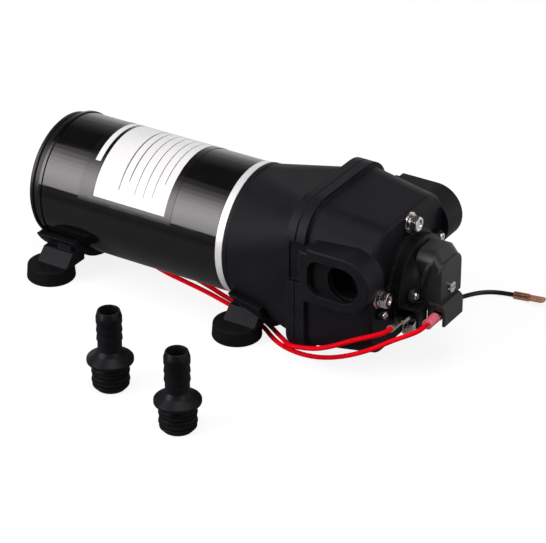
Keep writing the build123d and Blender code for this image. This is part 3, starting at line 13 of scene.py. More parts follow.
import bmesh
import bpy
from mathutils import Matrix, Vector

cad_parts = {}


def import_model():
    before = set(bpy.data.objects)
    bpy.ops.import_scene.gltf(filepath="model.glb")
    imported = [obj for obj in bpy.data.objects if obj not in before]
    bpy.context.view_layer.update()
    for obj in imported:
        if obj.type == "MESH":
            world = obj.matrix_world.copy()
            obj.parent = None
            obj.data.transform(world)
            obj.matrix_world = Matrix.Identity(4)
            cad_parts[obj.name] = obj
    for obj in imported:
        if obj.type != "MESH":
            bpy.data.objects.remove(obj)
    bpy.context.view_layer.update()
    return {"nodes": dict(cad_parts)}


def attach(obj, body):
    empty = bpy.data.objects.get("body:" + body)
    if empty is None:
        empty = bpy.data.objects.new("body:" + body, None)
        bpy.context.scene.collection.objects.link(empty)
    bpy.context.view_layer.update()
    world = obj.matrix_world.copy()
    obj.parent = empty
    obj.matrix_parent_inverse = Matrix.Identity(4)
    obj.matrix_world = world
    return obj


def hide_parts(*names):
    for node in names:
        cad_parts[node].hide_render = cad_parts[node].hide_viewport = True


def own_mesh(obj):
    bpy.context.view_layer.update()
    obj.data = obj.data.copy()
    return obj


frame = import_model()
scene = bpy.context.scene
MM = 0.001  # the sizes below are in millimetres, as on a drawing, unless they say otherwise
AXIS_HEIGHT = 46.0  # of the motor's shaft above the table
CAN_RADIUS = 37.5
print("pieces from CAD:", len(frame["nodes"]))

# %% [markdown]
# ## The camera
# A product photograph is taken from some way off with a long lens, so that the near end
# looks hardly larger than the far end. The camera stands 1.47 m away, to the right of the
# motor and about thirty degrees up, and looks at a point under the middle of the pump.

# %% Stand the camera
LOOK_AT = Vector((62.5, 0.0, 22.2)) * MM
CAMERA_TURN, CAMERA_RISE, CAMERA_AWAY = 31.96, 29.19, 1469.0  # degrees, degrees, millimetres
LENS, FILM_WIDTH = 175.4, 36.0
SEEN_FROM, SEEN_TO = 0.05, 30.0  # metres


def toward(turn, rise):
    """One metre from the pump, at a turn from the near side and a rise above the table."""
    level = math.cos(rise)
    return Vector((math.sin(turn) * level, -math.cos(turn) * level, math.sin(rise)))


def look_along(thing, way):
    """Turn a camera or a lamp, which look down their own -Z, to face this way."""
    thing.rotation_mode = "QUATERNION"
    thing.rotation_quaternion = way.to_track_quat("-Z", "Y")


camera = bpy.data.objects.new("studio_camera", bpy.data.cameras.new("studio_camera"))
scene.collection.objects.link(camera)
camera.data.lens, camera.data.sensor_width = LENS, FILM_WIDTH
camera.data.clip_start, camera.data.clip_end = SEEN_FROM, SEEN_TO
camera_way = toward(math.radians(CAMERA_TURN), math.radians(CAMERA_RISE))
camera.location = LOOK_AT + camera_way * (CAMERA_AWAY * MM)
look_along(camera, -camera_way)
scene.camera = camera
print("camera at", [round(c, 3) for c in camera.location])

# %% [markdown]
# ## Small helpers for finishes
# A finish is a little network of nodes. Real surfaces are never one flat colour: moulded
# plastic has a fine grain, paint has a faint orange peel, rubber holds dust. So each finish
# starts from noise at two sizes, a fine one for grain and a broad one for handling marks.
# Everything reads object coordinates, which are metres here, so a grain of a third of a
# millimetre is a noise scale of three thousand.


# %% Nodes by name
def node(tree, kind, settings=(), **inputs):
    """Add a node, set its options, and fill or join its inputs, by name or by number (i0, i1)."""
    own = kind.startswith(("Geometry", "Function", "NodeGroup"))
    made = tree.nodes.new(kind if own else "ShaderNode" + kind)
    for key, value in dict(settings).items():
        setattr(made, key, value)
    for key, value in inputs.items():
        by_number = key[0] == "i" and key[1:].isdigit()
        socket = made.inputs[int(key[1:])] if by_number else made.inputs[key.replace("_", " ")]
        if isinstance(value, bpy.types.NodeSocket):
            tree.links.new(value, socket)
        else:
            socket.default_value = value
    return made


def sums(tree, operation, first, second):
    """One sum on two numbers."""
    return node(tree, "Math", {"operation": operation}, i0=first, i1=second).outputs[0]


def spread(tree, value, low, high, at_low, at_high):
    """The value spread from low to high onto two numbers, and held there beyond them."""
    made = node(tree, "MapRange", Value=value, From_Min=low, From_Max=high, To_Min=at_low,
                To_Max=at_high)
    return made.outputs["Result"]


def colours(tree, value, *stops):
    """The value turned into a colour, by stops of (place, colour)."""
    made = node(tree, "ValToRGB", Fac=value)
    rows = made.color_ramp.elements
    while len(rows) < len(stops):
        rows.new(0.5)
    for row, (place, colour) in zip(rows, stops):
        row.position, row.color = place, (*colour, 1)
    return made.outputs["Color"]


def speckle(tree, grain_mm, detail=2.0, rough=0.5, stretch=(1, 1, 1)):
    """Noise with lumps about this many millimetres across, stretched along an axis if asked."""
    place = node(tree, "TexCoord").outputs["Object"]
    place = node(tree, "Mapping", Vector=place, Scale=stretch).outputs["Vector"]
    scale = 1000.0 / grain_mm
    noise = node(tree, "TexNoise", Vector=place, Scale=scale, Detail=detail, Roughness=rough)
    return noise.outputs["Fac"]


def blank_finish(name):
    """A new material, its tree and its main shader."""
    finish = bpy.data.materials.new(name)
    finish.use_nodes = True
    return finish, finish.node_tree, finish.node_tree.nodes["Principled BSDF"]


def bumped(tree, shader, height, depth_mm, rounded=None):
    """Let the height raise the surface this many millimetres, on top of a softened normal."""
    facts = {"Height": height, "Strength": 1.0, "Distance": depth_mm * MM}
    if rounded is not None:
        facts["Normal"] = rounded
    bump = node(tree, "Bump", **facts)
    tree.links.new(bump.outputs["Normal"], shader.inputs["Normal"])


# %% [markdown]
# ## One recipe for moulded, painted and plated surfaces
# The colour drifts between two close tones and the roughness between two values. A Bevel
# node looks round the corner of the mesh, so that a sharp CAD edge takes light as a softened
# one does. Where its normal leaves the true one, there is an edge, and there the colour is
# painted lighter, a painted highlight along the edge, and the surface is a little rougher.

# %% The recipe
AT_EDGE, OFF_EDGE = 0.80, 0.985  # how well the softened normal agrees with the true one
EDGE_HIGHLIGHT_LIFT = 0.6  # how far an edge moves the tone towards the painted highlight colour
# The last stop is where the painted edge highlight takes the colour over.
DARK_AT, LIGHT_AT, EDGE_HIGHLIGHT_AT = 0.36, 0.66, 1.0
SMOOTH_AT, ROUGH_AT = 0.3, 0.72


def surface(name, dark, light, gloss, grain_mm, depth_mm, metal=0.0, specular=0.5,
            marks_mm=14.0, stretch=(1, 1, 1), edge_mm=0.0, edge_highlight=None):
    """A finish of two close tones, with grain, handling marks, softened edges and a painted
    highlight along them.
    """
    finish, tree, shader = blank_finish(name)
    tone = speckle(tree, marks_mm, detail=5.0, rough=0.62)
    grain = speckle(tree, grain_mm, detail=3.0, rough=0.55, stretch=stretch)
    rounded = None
    if edge_mm:
        rounded = node(tree, "Bevel", {"samples": 4}, Radius=edge_mm * MM).outputs["Normal"]
        true = node(tree, "NewGeometry").outputs["Normal"]
        same = node(tree, "VectorMath", {"operation": "DOT_PRODUCT"}, i0=rounded, i1=true)
        # Painted highlight: edges lift the tone, which lightens the colour there and roughens it.
        edge = spread(tree, same.outputs["Value"], AT_EDGE, OFF_EDGE, EDGE_HIGHLIGHT_LIFT, 0.0)
        tone = sums(tree, "ADD", tone, edge)
    stops = [(DARK_AT, dark), (LIGHT_AT, light)]
    # The optional third colour is the painted highlight along edges.
    if edge_highlight:
        stops.append((EDGE_HIGHLIGHT_AT, edge_highlight))
    tree.links.new(colours(tree, tone, *stops), shader.inputs["Base Color"])
    roughness = spread(tree, tone, SMOOTH_AT, ROUGH_AT, *gloss)
    tree.links.new(roughness, shader.inputs["Roughness"])
    shader.inputs["Metallic"].default_value = metal
    shader.inputs["Specular IOR Level"].default_value = specular
    bumped(tree, shader, grain, depth_mm, rounded)
    return finish


# %% [markdown]
# ## The finishes
# The motor can is sprayed with gloss black enamel. The head is glass filled nylon with a
# matt texture, the switch a smoother moulding. The hose fittings are polished a little by
# their mould. Screws and washers are zinc or nickel plated, and go slightly warm.

# %% Mix the finishes
# Besides its tones, a finish may give a lighter colour for the painted highlight along its edges.
NYLON = {"specular": 0.16, "edge_mm": 0.45, "edge_highlight": (0.040, 0.039, 0.045)}
PLATED = {"metal": 1.0, "marks_mm": 2.5, "edge_mm": 0.15}
DRAWN = {"metal": 1.0, "marks_mm": 4.0}
# The darker and the lighter tone, the least and the most roughness, the grain's size and its
# depth in millimetres, and what else the recipe needs.
# Some finishes also carry a lighter colour for the painted edge highlight.
RECIPES = {
    "can_paint": ((0.003, 0.003, 0.0034), (0.005, 0.0048, 0.0052), (0.07, 0.13), 2.4, 0.005,
                  {"specular": 0.55}),
    "bright_plate": ((0.86, 0.86, 0.87), (0.95, 0.95, 0.95), (0.34, 0.46), 0.9, 0.004,
                     {"metal": 0.35, "stretch": (1, 0.1, 0.1)}),
    "cap_black": ((0.006, 0.006, 0.0065), (0.010, 0.0095, 0.010), (0.30, 0.42), 1.2, 0.006,
                  {"specular": 0.4, "edge_mm": 0.3, "edge_highlight": (0.03, 0.03, 0.032)}),
    "charcoal_plastic": ((0.0062, 0.0060, 0.0080), (0.0088, 0.0085, 0.0110), (0.46, 0.58),
                         0.32, 0.012, NYLON),
    "switch_plastic": ((0.0050, 0.0050, 0.0060), (0.0075, 0.0075, 0.0088), (0.32, 0.44),
                       0.5, 0.006, NYLON),
    "cover_plastic": ((0.0120, 0.0116, 0.0124), (0.0165, 0.0160, 0.0170), (0.36, 0.48),
                      0.4, 0.008, {"edge_mm": 0.5, "edge_highlight": (0.05, 0.049, 0.052)}),
    "fitting_plastic": ((0.0050, 0.0050, 0.0065), (0.0080, 0.0078, 0.0095), (0.34, 0.48),
                        0.6, 0.008, NYLON),
    "rubber_black": ((0.0040, 0.0040, 0.0042), (0.0075, 0.0073, 0.0072), (0.66, 0.85),
                     0.5, 0.02, {"specular": 0.12, "edge_mm": 0.4}),
    "bracket_plastic": ((0.0060, 0.0060, 0.0078), (0.0085, 0.0085, 0.0105), (0.42, 0.56),
                        0.4, 0.012, NYLON),
    "plated_steel": ((0.80, 0.72, 0.66), (0.96, 0.92, 0.89), (0.16, 0.32), 0.6, 0.008, PLATED),
    "steel": ((0.45, 0.45, 0.46), (0.62, 0.62, 0.63), (0.25, 0.4), 0.4, 0.004,
              {"metal": 1.0, "stretch": (0.1, 1, 1)}),
    "lamination": ((0.28, 0.27, 0.27), (0.42, 0.41, 0.40), (0.4, 0.55), 0.5, 0.02,
                   {"metal": 1.0, "stretch": (1, 0.05, 0.05)}),
    "magnet": ((0.06, 0.06, 0.065), (0.12, 0.12, 0.13), (0.5, 0.7), 0.6, 0.02, {}),
    "copper": ((0.55, 0.22, 0.10), (0.80, 0.42, 0.26), (0.25, 0.4), 0.5, 0.006, DRAWN),
    "brass": ((0.62, 0.45, 0.18), (0.83, 0.66, 0.33), (0.22, 0.38), 0.5, 0.006, DRAWN),
    "tinned": ((0.66, 0.60, 0.54), (0.90, 0.87, 0.82), (0.2, 0.36), 0.5, 0.006, PLATED),
    "carbon": ((0.02, 0.02, 0.021), (0.05, 0.05, 0.052), (0.5, 0.65), 0.3, 0.01, {}),
    "board": ((0.20, 0.12, 0.06), (0.32, 0.21, 0.11), (0.4, 0.55), 0.3, 0.01, {}),
    "alloy": ((0.52, 0.53, 0.55), (0.70, 0.71, 0.73), (0.35, 0.5), 0.8, 0.03, {"metal": 1.0}),
    "white_plastic": ((0.70, 0.70, 0.67), (0.80, 0.80, 0.78), (0.35, 0.5), 0.6, 0.006, {}),
    "red_wire": ((0.84, 0.001, 0.008), (0.96, 0.002, 0.014), (0.42, 0.55), 1.0, 0.006,
                 {"specular": 0.03, "marks_mm": 6.0}),
    "black_wire": ((0.006, 0.006, 0.006), (0.012, 0.012, 0.012), (0.28, 0.4), 1.0, 0.006,
                   {"specular": 0.3, "marks_mm": 6.0}),
    "pink_sleeve": ((0.80, 0.09, 0.16), (0.90, 0.20, 0.26), (0.18, 0.3), 1.0, 0.006,
                    {"marks_mm": 4.0}),
}
finishes = {name: surface(name, *main, **rest) for name, (*main, rest) in RECIPES.items()}
print("finishes:", len(finishes))

# %% [markdown]
# ## The leads
# Three leads of insulated wire. The red one from the motor lies along the table and rises
# to the switch. The red supply lead comes out of the front terminal, sweeps under the pump
# and ends in a spade behind it. The black one lies on the far side with its spade in sight.
# Each is one smooth spline whose control points are the route's points.

# %% Lay the leads
WIRE = 2.6  # across the insulation
STRAIGHT = 5.0  # how far a lead runs straight out of its terminal
NEAR_END = (155.4, -32.6, 30.6)
FRONT_END = (172.5, -23.8, 34.0)


def lay_lead(name, stands_for, points, paint, **facts):
    """One wire along these points, hung on the pump's body in place of the CAD lead."""
    line = bpy.data.curves.new(name, "CURVE")
    line.dimensions, line.bevel_depth, line.bevel_resolution = "3D", WIRE / 2 * MM, 5
    line.resolution_u, line.use_fill_caps = 10, True
    spline = line.splines.new("NURBS")
    spline.points.add(len(points) - 1)
    for spot, point in zip(spline.points, points):
        spot.co = (*[c * MM for c in point], 1.0)
    spline.order_u = 3
    spline.use_endpoint_u = True
    lead = bpy.data.objects.new(name, line)
    scene.collection.objects.link(lead)
    lead.data.materials.append(finishes[paint])
    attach(lead, "pump")
    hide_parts(stands_for)


def before(end):
    """The point where a lead leaves the straight line into its terminal."""
    return end[0], end[1] - STRAIGHT, end[2]


motor_red = [
    (-19.3, 22.83, 13.40), (-19.3, 25.70, 9.30), (-18.2, 27.2, 4.6), (-15.0, 23.4, 1.7),
    (-11.2, 17.2, 1.3), (-6.2, 10.2, 1.3), (2.5, 3.6, 1.3), (19.7, -1.1, 1.3),
    (36.6, -7.2, 1.3), (53.5, -12.0, 1.3), (65.4, -16.4, 1.3), (75.5, -21.8, 1.3),
    (84.3, -28.4, 2.2), (92.3, -36.4, 6.0), (100.4, -45.3, 9.6), (108.6, -46.6, 11.4),
    (118.0, -46.4, 13.4), (127.6, -45.1, 17.4), (138.8, -43.1, 23.7), (148.4, -41.7, 28.2),
    before(NEAR_END), NEAR_END,
]
supply_red = [
    FRONT_END, before(FRONT_END),
    (170.4, -33.6, 33.0), (160.5, -37.6, 27.8), (148.5, -40.4, 19.6), (134.5, -40.6, 11.4),
    (121.0, -39.7, 5.4), (109.0, -38.2, 2.0), (98.4, -37.4, 1.3), (88.4, -34.9, 1.3),
    (80.2, -30.2, 1.3), (71.2, -23.4, 1.3), (60.4, -18.8, 1.3), (49.0, -15.0, 1.3),
    (35.8, -11.2, 1.3), (22.0, -7.4, 1.3), (6.0, -4.2, 1.3), (-8.2, -1.4, 1.3),
    (-20.6, 2.6, 1.3), (-30.8, 9.6, 1.3), (-37.4, 19.6, 1.3), (-40.2, 31.2, 1.3),
    (-38.8, 42.8, 1.6), (-34.2, 53.0, 2.2),
]
motor_black = [
    (-25.3, 22.83, 13.40), (-25.3, 25.70, 9.30), (-24.4, 28.8, 4.7), (-21.2, 30.2, 1.8),
    (-15.2, 28.4, 1.3), (-5.0, 24.0, 1.3), (9.8, 19.2, 1.3), (27.0, 16.2, 1.3),
    (46.0, 14.8, 1.3), (66.0, 15.3, 1.3), (91.5, 19.5, 1.3), (113.6, 26.4, 1.3),
    (129.4, 34.2, 1.3), (138.6, 43.0, 1.3), (144.0, 54.2, 1.3), (148.8, 65.6, 1.3),
    (155.2, 74.2, 1.3), (163.8, 78.4, 1.6), (172.2, 79.0, 2.2),
]
lay_lead("red_motor_lead", "motor_lead_red", motor_red, "red_wire",
         length=0.219, far_end="object", with_pieces=["lead_receptacles"])
lay_lead("red_supply_lead", "supply_lead_red", supply_red, "red_wire",
         length=0.276, far_end="connector", with_pieces=["supply_lead_end", "supply_lead_sleeve"])
lay_lead("black_motor_lead", "motor_lead_black", motor_black, "black_wire",
         length=0.236, far_end="connector", with_pieces=["black_lead_end"])
print("leads laid: 3")

# %% [markdown]
# ## The label round the motor
# A paper label lies under a clear film that wraps round the can: a white sheet with a few
# plain grey rules, and a separate white bar beside it. It could be a picture on a plane, but
# a picture blurs close up. Here it is a thin bent sheet whose UV map says where each point
# lies on the flat label, and the paper, the bar and the rules are sums on that map.

# %% Cut and bend the label
FILM = (-42.5, 19.0)  # from end to end along the motor
WRAP = (-74.0, 76.0)  # degrees from the top, towards the near side
FILM_OUT, FILM_THICK = 0.2, 0.16  # how far its outside stands off the can, and its thickness
LABEL_STEPS = (12, 60)
SHARP = math.radians(35)  # a fold sharper than this stays a crisp edge


def bent_sheet(name, along, around, radius, steps):
    """A grid laid round the motor, with a UV map that runs from 0 to 1 each way."""
    mesh, form = bpy.data.meshes.new(name), bmesh.new()
    place = form.loops.layers.uv.new("flat")
    rows = []
    for i in range(steps[0] + 1):
        x = along[0] + (along[1] - along[0]) * i / steps[0]
        row = []
        for j in range(steps[1] + 1):
            turn = math.radians(around[0] + (around[1] - around[0]) * j / steps[1])
            y, z = -radius * math.sin(turn), AXIS_HEIGHT + radius * math.cos(turn)
            row.append(form.verts.new(Vector((x, y, z)) * MM))
        rows.append(row)
    for i in range(steps[0]):
        for j in range(steps[1]):
            corners = ((i, j), (i, j + 1), (i + 1, j + 1), (i + 1, j))
            face = form.faces.new([rows[u][v] for u, v in corners])
            for loop, (u, v) in zip(face.loops, corners):
                loop[place].uv = (u / steps[0], v / steps[1])
            face.smooth = True
    form.normal_update()
    outward = rows[0][0].co - Vector((rows[0][0].co.x, 0, AXIS_HEIGHT * MM))
    if form.faces[:][0].normal.dot(outward) < 0:
        bmesh.ops.reverse_faces(form, faces=form.faces[:])
    form.to_mesh(mesh)
    form.free()
    sheet = bpy.data.objects.new(name, mesh)
    scene.collection.objects.link(sheet)
    return sheet


def plain_mesh(piece):
    """Turn what the modifiers make into the piece's own mesh, and take the modifiers off."""
    seen = piece.evaluated_get(bpy.context.evaluated_depsgraph_get())
    made = bpy.data.meshes.new_from_object(seen)
    made.set_sharp_from_angle(angle=SHARP)
    piece.modifiers.clear()
    piece.data = made


label = bent_sheet("motor_label", FILM, WRAP, CAN_RADIUS + FILM_OUT, LABEL_STEPS)
thick = label.modifiers.new("film", "SOLIDIFY")
thick.thickness, thick.offset = FILM_THICK * MM, -1.0
plain_mesh(label)
print("label faces:", len(label.data.polygons))

# %% [markdown]
# ## Ink, paper and film
# The film is clear, so beside the paper it shows the black paint through a slightly softer
# gloss. Paper and ink are told apart by place alone, in millimetres along the motor and
# degrees round it.

# %% Print the label
PAPER, PAPER_WRAP = (-32.4, 14.6), (-65.0, 70.0)
BAR, BAR_WRAP = (-38.1, -34.7), (-52.0, 40.0)
RULES = [  # the middle along the motor, the width, and the degrees from and to
    (-17.2, 0.8, -58, 59), (-12.2, 0.7, -58, 50), (-6.6, 0.5, -50, 60),
    (-1.0, 0.5, -46, 60), (4.6, 0.5, -52, 58), (9.6, 0.5, -40, 44),
]
PAPER_TONES = (0.3, (0.80, 0.80, 0.80)), (0.7, (0.86, 0.86, 0.86))
FILM_TONES = (0.35, (0.0045, 0.004, 0.004)), (0.7, (0.009, 0.0075, 0.0075))
INK = (0.10, 0.10, 0.11, 1)
FILM_GLOSS = (0.12, 0.22)
PAPER_RELIEF, FIBRE_RELIEF = 0.03, 0.04  # the paper's own step, and the fibre's share of it

label_finish, tree, shader = blank_finish("label_paper")
flat = node(tree, "SeparateXYZ", Vector=node(tree, "UVMap", {"uv_map": "flat"}).outputs["UV"])
along = spread(tree, flat.outputs["X"], 0.0, 1.0, *FILM)
around = spread(tree, flat.outputs["Y"], 0.0, 1.0, *WRAP)


def patch(xs, turns):
    """1 inside these limits along and around the motor, and 0 outside them."""
    inside = sums(tree, "GREATER_THAN", along, xs[0])
    for operation, place, limit in (
        ("LESS_THAN", along, xs[1]),
        ("GREATER_THAN", around, turns[0]),
        ("LESS_THAN", around, turns[1]),
    ):
        inside = sums(tree, "MULTIPLY", inside, sums(tree, operation, place, limit))
    return inside


paper = sums(tree, "MAXIMUM", patch(PAPER, PAPER_WRAP), patch(BAR, BAR_WRAP))
ink = 0.0
for middle, width, *turns in RULES:
    rule = patch((middle - width / 2, middle + width / 2), turns)
    ink = sums(tree, "MAXIMUM", ink, rule)
fibre = speckle(tree, 0.8, detail=4.0, rough=0.6)
stock = colours(tree, fibre, *PAPER_TONES)
film = colours(tree, speckle(tree, 6.0, detail=4.0, rough=0.6), *FILM_TONES)
inked = node(tree, "MixRGB", Fac=ink, Color1=stock, Color2=INK)
shown = node(tree, "MixRGB", Fac=paper, Color1=film, Color2=inked.outputs["Color"])
tree.links.new(shown.outputs["Color"], shader.inputs["Base Color"])
roughness = spread(tree, speckle(tree, 5.0, detail=3.0), 0.3, 0.7, *FILM_GLOSS)
tree.links.new(roughness, shader.inputs["Roughness"])
shader.inputs["Specular IOR Level"].default_value = 0.5
relief = sums(tree, "ADD", paper, sums(tree, "MULTIPLY", fibre, FIBRE_RELIEF))
bumped(tree, shader, relief, PAPER_RELIEF)
label.data.materials.append(label_finish)
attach(label, "pump")
print("rules on the label:", len(RULES))

# %% [markdown]
# ## Trees that repeat and turn
# Geometry Nodes suit what a workshop does by rule: a lathe turns one outline round an axis,
# and a drill jig sets the same screw in four places. A tree here is built once, its sizes are
# named inputs, and its result is made a plain mesh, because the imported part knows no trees.

# %% A tree and its use
WELD = 0.002  # points nearer to each other than this become one


def new_tree(name, **sizes):
    """An empty tree that takes a shape, a finish and these sizes, and gives a shape."""
    tree = bpy.data.node_groups.new(name, "GeometryNodeTree")
    face = tree.interface
    face.new_socket("Shape", in_out="INPUT", socket_type="NodeSocketGeometry")
    face.new_socket("Finish", in_out="INPUT", socket_type="NodeSocketMaterial")
    for key, value in sizes.items():
        kind = "NodeSocketInt" if isinstance(value, int) else "NodeSocketFloat"
        face.new_socket(key, in_out="INPUT", socket_type=kind).default_value = value
    face.new_socket("Shape", in_out="OUTPUT", socket_type="NodeSocketGeometry")
    return tree, node(tree, "NodeGroupInput").outputs


def swept(tree, path, section, **settings):
    """A section carried along a path, both of them curves."""
    made = node(tree, "GeometryNodeCurveToMesh", Curve=path, **settings)
    tree.links.new(section, made.inputs["Profile Curve"])
    return made.outputs[0]


def end_tree(tree, given, shape):
    """Close a tree with real, smooth, painted faces."""
    real = node(tree, "GeometryNodeRealizeInstances", Geometry=shape).outputs[0]
    smooth = node(tree, "GeometryNodeSetShadeSmooth", Geometry=real).outputs[0]
    finish = given["Finish"]
    painted = node(tree, "GeometryNodeSetMaterial", Geometry=smooth, Material=finish).outputs[0]
    node(tree, "NodeGroupOutput", i0=painted)


def follow(name, tree, start=None, **given):
    """A new object whose plain mesh is what the tree makes of the start and what is given."""
    piece = bpy.data.objects.new(name, start or bpy.data.meshes.new(name))
    rule = piece.modifiers.new("rule", "NODES")
    rule.node_group = tree
    for item in tree.interface.items_tree:
        if item.in_out == "INPUT" and item.name in given:
            rule[item.identifier] = given[item.name]
    scene.collection.objects.link(piece)
    plain_mesh(piece)
    return piece


def grow(name, tree, finish, body, stands_for, start=None, shift=(0, 0, 0), **sizes):
    """A piece made by a tree, welded, set in its place and hung on its body in place of the CAD
    piece.
    """
    piece = follow(name, tree, start, Finish=finishes[finish], **sizes)
    form = bmesh.new()
    form.from_mesh(piece.data)
    bmesh.ops.remove_doubles(form, verts=form.verts[:], dist=WELD * MM)
    bmesh.ops.recalc_face_normals(form, faces=form.faces[:])
    bmesh.ops.translate(form, verts=form.verts[:], vec=Vector(shift) * MM)
    form.to_mesh(piece.data)
    form.free()
    piece.data.set_sharp_from_angle(angle=SHARP)
    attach(piece, body)
    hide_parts(stands_for)
    print(name, "faces:", len(piece.data.polygons))
    return piece


# %% [markdown]
# ## Hose fittings off the lathe
# A hose fitting is a solid of revolution: a nose with two grooves for the seal rings, a
# collar that the latch slide holds, and a tail whose ribs grip the hose. The outline is
# drawn once, with its ribs by rule. The tree rounds every corner a little, as a mould does,
# and carries the outline round a very small circle, which is what a lathe does.

# %% Turn the fittings
FITTING_PLACES = {"left": (34.7, -117.0), "right": (87.6, -132.4)}
BORE, NOSE, LAND, GROOVE, NECK, COLLAR = 5.1, 8.0, 9.9, 7.6, 9.0, 12.6  # radii
NOSE_TOP, LAND_TOP, NECK_TOP, COLLAR_TOP, FITTING_TOP = 2.2, 13.4, 16.2, 17.9, 46.5  # heights
SHOULDER = [(11.2, 18.9), (8.1, 21.2)]  # radius and height, where the collar slopes to the tail
RING_HEIGHTS, GROOVE_WIDTH, RING_RADIUS = (5.2, 10.4), 3.0, 10.3
RIB_ROOT, RIB_CREST, RIBS, RIB_PITCH = 6.5, 7.0, 3, 5.0
TAIL_START, RIB_START, RIB_SLOPE, MOUTH_CUT = 23.4, 29.0, 0.6, (0.5, 1.0)
CORNER_ROUND, LATHE_STEPS = 0.35, 112
LATHE_WHEEL = 0.00001  # as good as a point, yet still a circle


def fitting_outline():
    """Radius and height of each corner, from the foot of the bore, outwards and up."""
    corners = [(BORE, 0), (NOSE, 0), (LAND, NOSE_TOP)]
    for height in RING_HEIGHTS:
        low, high = height - GROOVE_WIDTH / 2, height + GROOVE_WIDTH / 2
        corners += [(LAND, low), (GROOVE, low), (GROOVE, high), (LAND, high)]
    corners += [(LAND, LAND_TOP), (NECK, LAND_TOP), (NECK, NECK_TOP)]
    corners += [(COLLAR, NECK_TOP), (COLLAR, COLLAR_TOP), *SHOULDER, (RIB_ROOT, TAIL_START)]
    for k in range(RIBS):
        low = RIB_START + k * RIB_PITCH
        corners += [(RIB_ROOT, low), (RIB_CREST, low + RIB_SLOPE)]
    inward, down = MOUTH_CUT
    corners += [(RIB_CREST, RIB_START + RIBS * RIB_PITCH - down)]
    corners += [(RIB_ROOT - inward, FITTING_TOP), (BORE, FITTING_TOP)]
    return corners


def outline_mesh(name, corners):
    """A closed loop of edges; the sweep turns its -Y into height."""
    mesh = bpy.data.meshes.new(name)
    rows = [(radius * MM, -height * MM, 0) for radius, height in corners]
    mesh.from_pydata(rows, [(k, (k + 1) % len(rows)) for k in range(len(rows))], [])
    return mesh


lathe, given = new_tree("lathe", Corner_round=CORNER_ROUND * MM, Steps_round=LATHE_STEPS)
outline = node(lathe, "GeometryNodeMeshToCurve", Mesh=given["Shape"]).outputs[0]
outline = node(lathe, "GeometryNodeFilletCurve", {"mode": "POLY"}, Curve=outline, Count=3,
               Radius=given["Corner_round"], Limit_Radius=True).outputs[0]
wheel = node(lathe, "GeometryNodeCurvePrimitiveCircle", Resolution=given["Steps_round"],
             Radius=LATHE_WHEEL * MM)
end_tree(lathe, given, swept(lathe, wheel.outputs["Curve"], outline))
for side, (x, y) in FITTING_PLACES.items():
    grow("turned_fitting_" + side, lathe, "fitting_plastic", side + "_fitting",
         "hose_fitting_" + side, outline_mesh("fitting_outline", fitting_outline()), (x, y, 0))

# %% [markdown]
# ## Seal rings
# Each fitting has two rubber rings of round section. One ring is a circle swept round a
# circle; the tree sets it on a short ladder of points, one for each groove.

# %% Roll the seal rings
ringer, given = new_tree(
    "seal_rings", Middle_radius=(RING_RADIUS + GROOVE) / 2 * MM,
    Wire_radius=(RING_RADIUS - GROOVE) / 2 * MM,
    Pitch=(RING_HEIGHTS[1] - RING_HEIGHTS[0]) * MM, Count=len(RING_HEIGHTS),
)
rung = node(ringer, "CombineXYZ", Z=given["Pitch"]).outputs[0]
ladder = node(ringer, "GeometryNodeMeshLine", Count=given["Count"], Offset=rung).outputs[0]
round_path = node(ringer, "GeometryNodeCurvePrimitiveCircle", Resolution=96,
                  Radius=given["Middle_radius"]).outputs["Curve"]
section = node(ringer, "GeometryNodeCurvePrimitiveCircle", Resolution=20,
               Radius=given["Wire_radius"]).outputs["Curve"]
ring = swept(ringer, round_path, section)
rings = node(ringer, "GeometryNodeInstanceOnPoints", Points=ladder, Instance=ring).outputs[0]
end_tree(ringer, given, rings)
for side, (x, y) in FITTING_PLACES.items():
    grow("seal_rings_" + side, ringer, "rubber_black", side + "_fitting",
         "fitting_rings_" + side, shift=(x, y, RING_HEIGHTS[0]))

# %% [markdown]
# ## Screws in four places
# Four long screws hold the head together. Each has a hexagon head with a dished top and
# cut corners, over a split spring washer and a plain washer. One screw and one plain washer
# are shaped here, as skins over rows of points.

# %% Shape one screw and one washer
ROUND_STEPS = 48
SCREW_CIRCLE, SCREW_RADIUS, GRIP, TIP_CUT = 31.1, 2.5, 62.0, 0.5
FLATS, HEAD_HEIGHT, HEAD_FOOT_CUT = 8.0, 3.6, 0.1
CORNER_DROP, CORNER_SLOPE = 0.10, 0.58  # the cone that trims the head's corners
TOP_RADIUS = FLATS / 2 - 0.35
DISH_RADIUS, DISH_DEPTH, DISH_TAPER, DISH_MIDDLE = 2.6, 0.7, 0.6, 0.4
DISH_LIP, DISH_LIP_DROP = 0.15, 0.1
WASHER_ROWS = [  # height and radius round the section of a plain washer
    (0.0, 2.9), (0.0, 5.5), (0.12, 5.7), (0.95, 5.7),
    (1.1, 5.5), (1.1, 2.9), (0.95, 2.8), (0.12, 2.8),
]


def hex_reach(turn):
    """How far a hexagon's side lies from its middle, at this turn."""
    part = (turn + math.pi / 6) % (math.pi / 3) - math.pi / 6
    return FLATS / 2 / math.cos(part)


def cut_corner(turn):
    """The level at which the cone that trims the corners meets this side."""
    return HEAD_HEIGHT - CORNER_DROP - (hex_reach(turn) - FLATS / 2) * CORNER_SLOPE


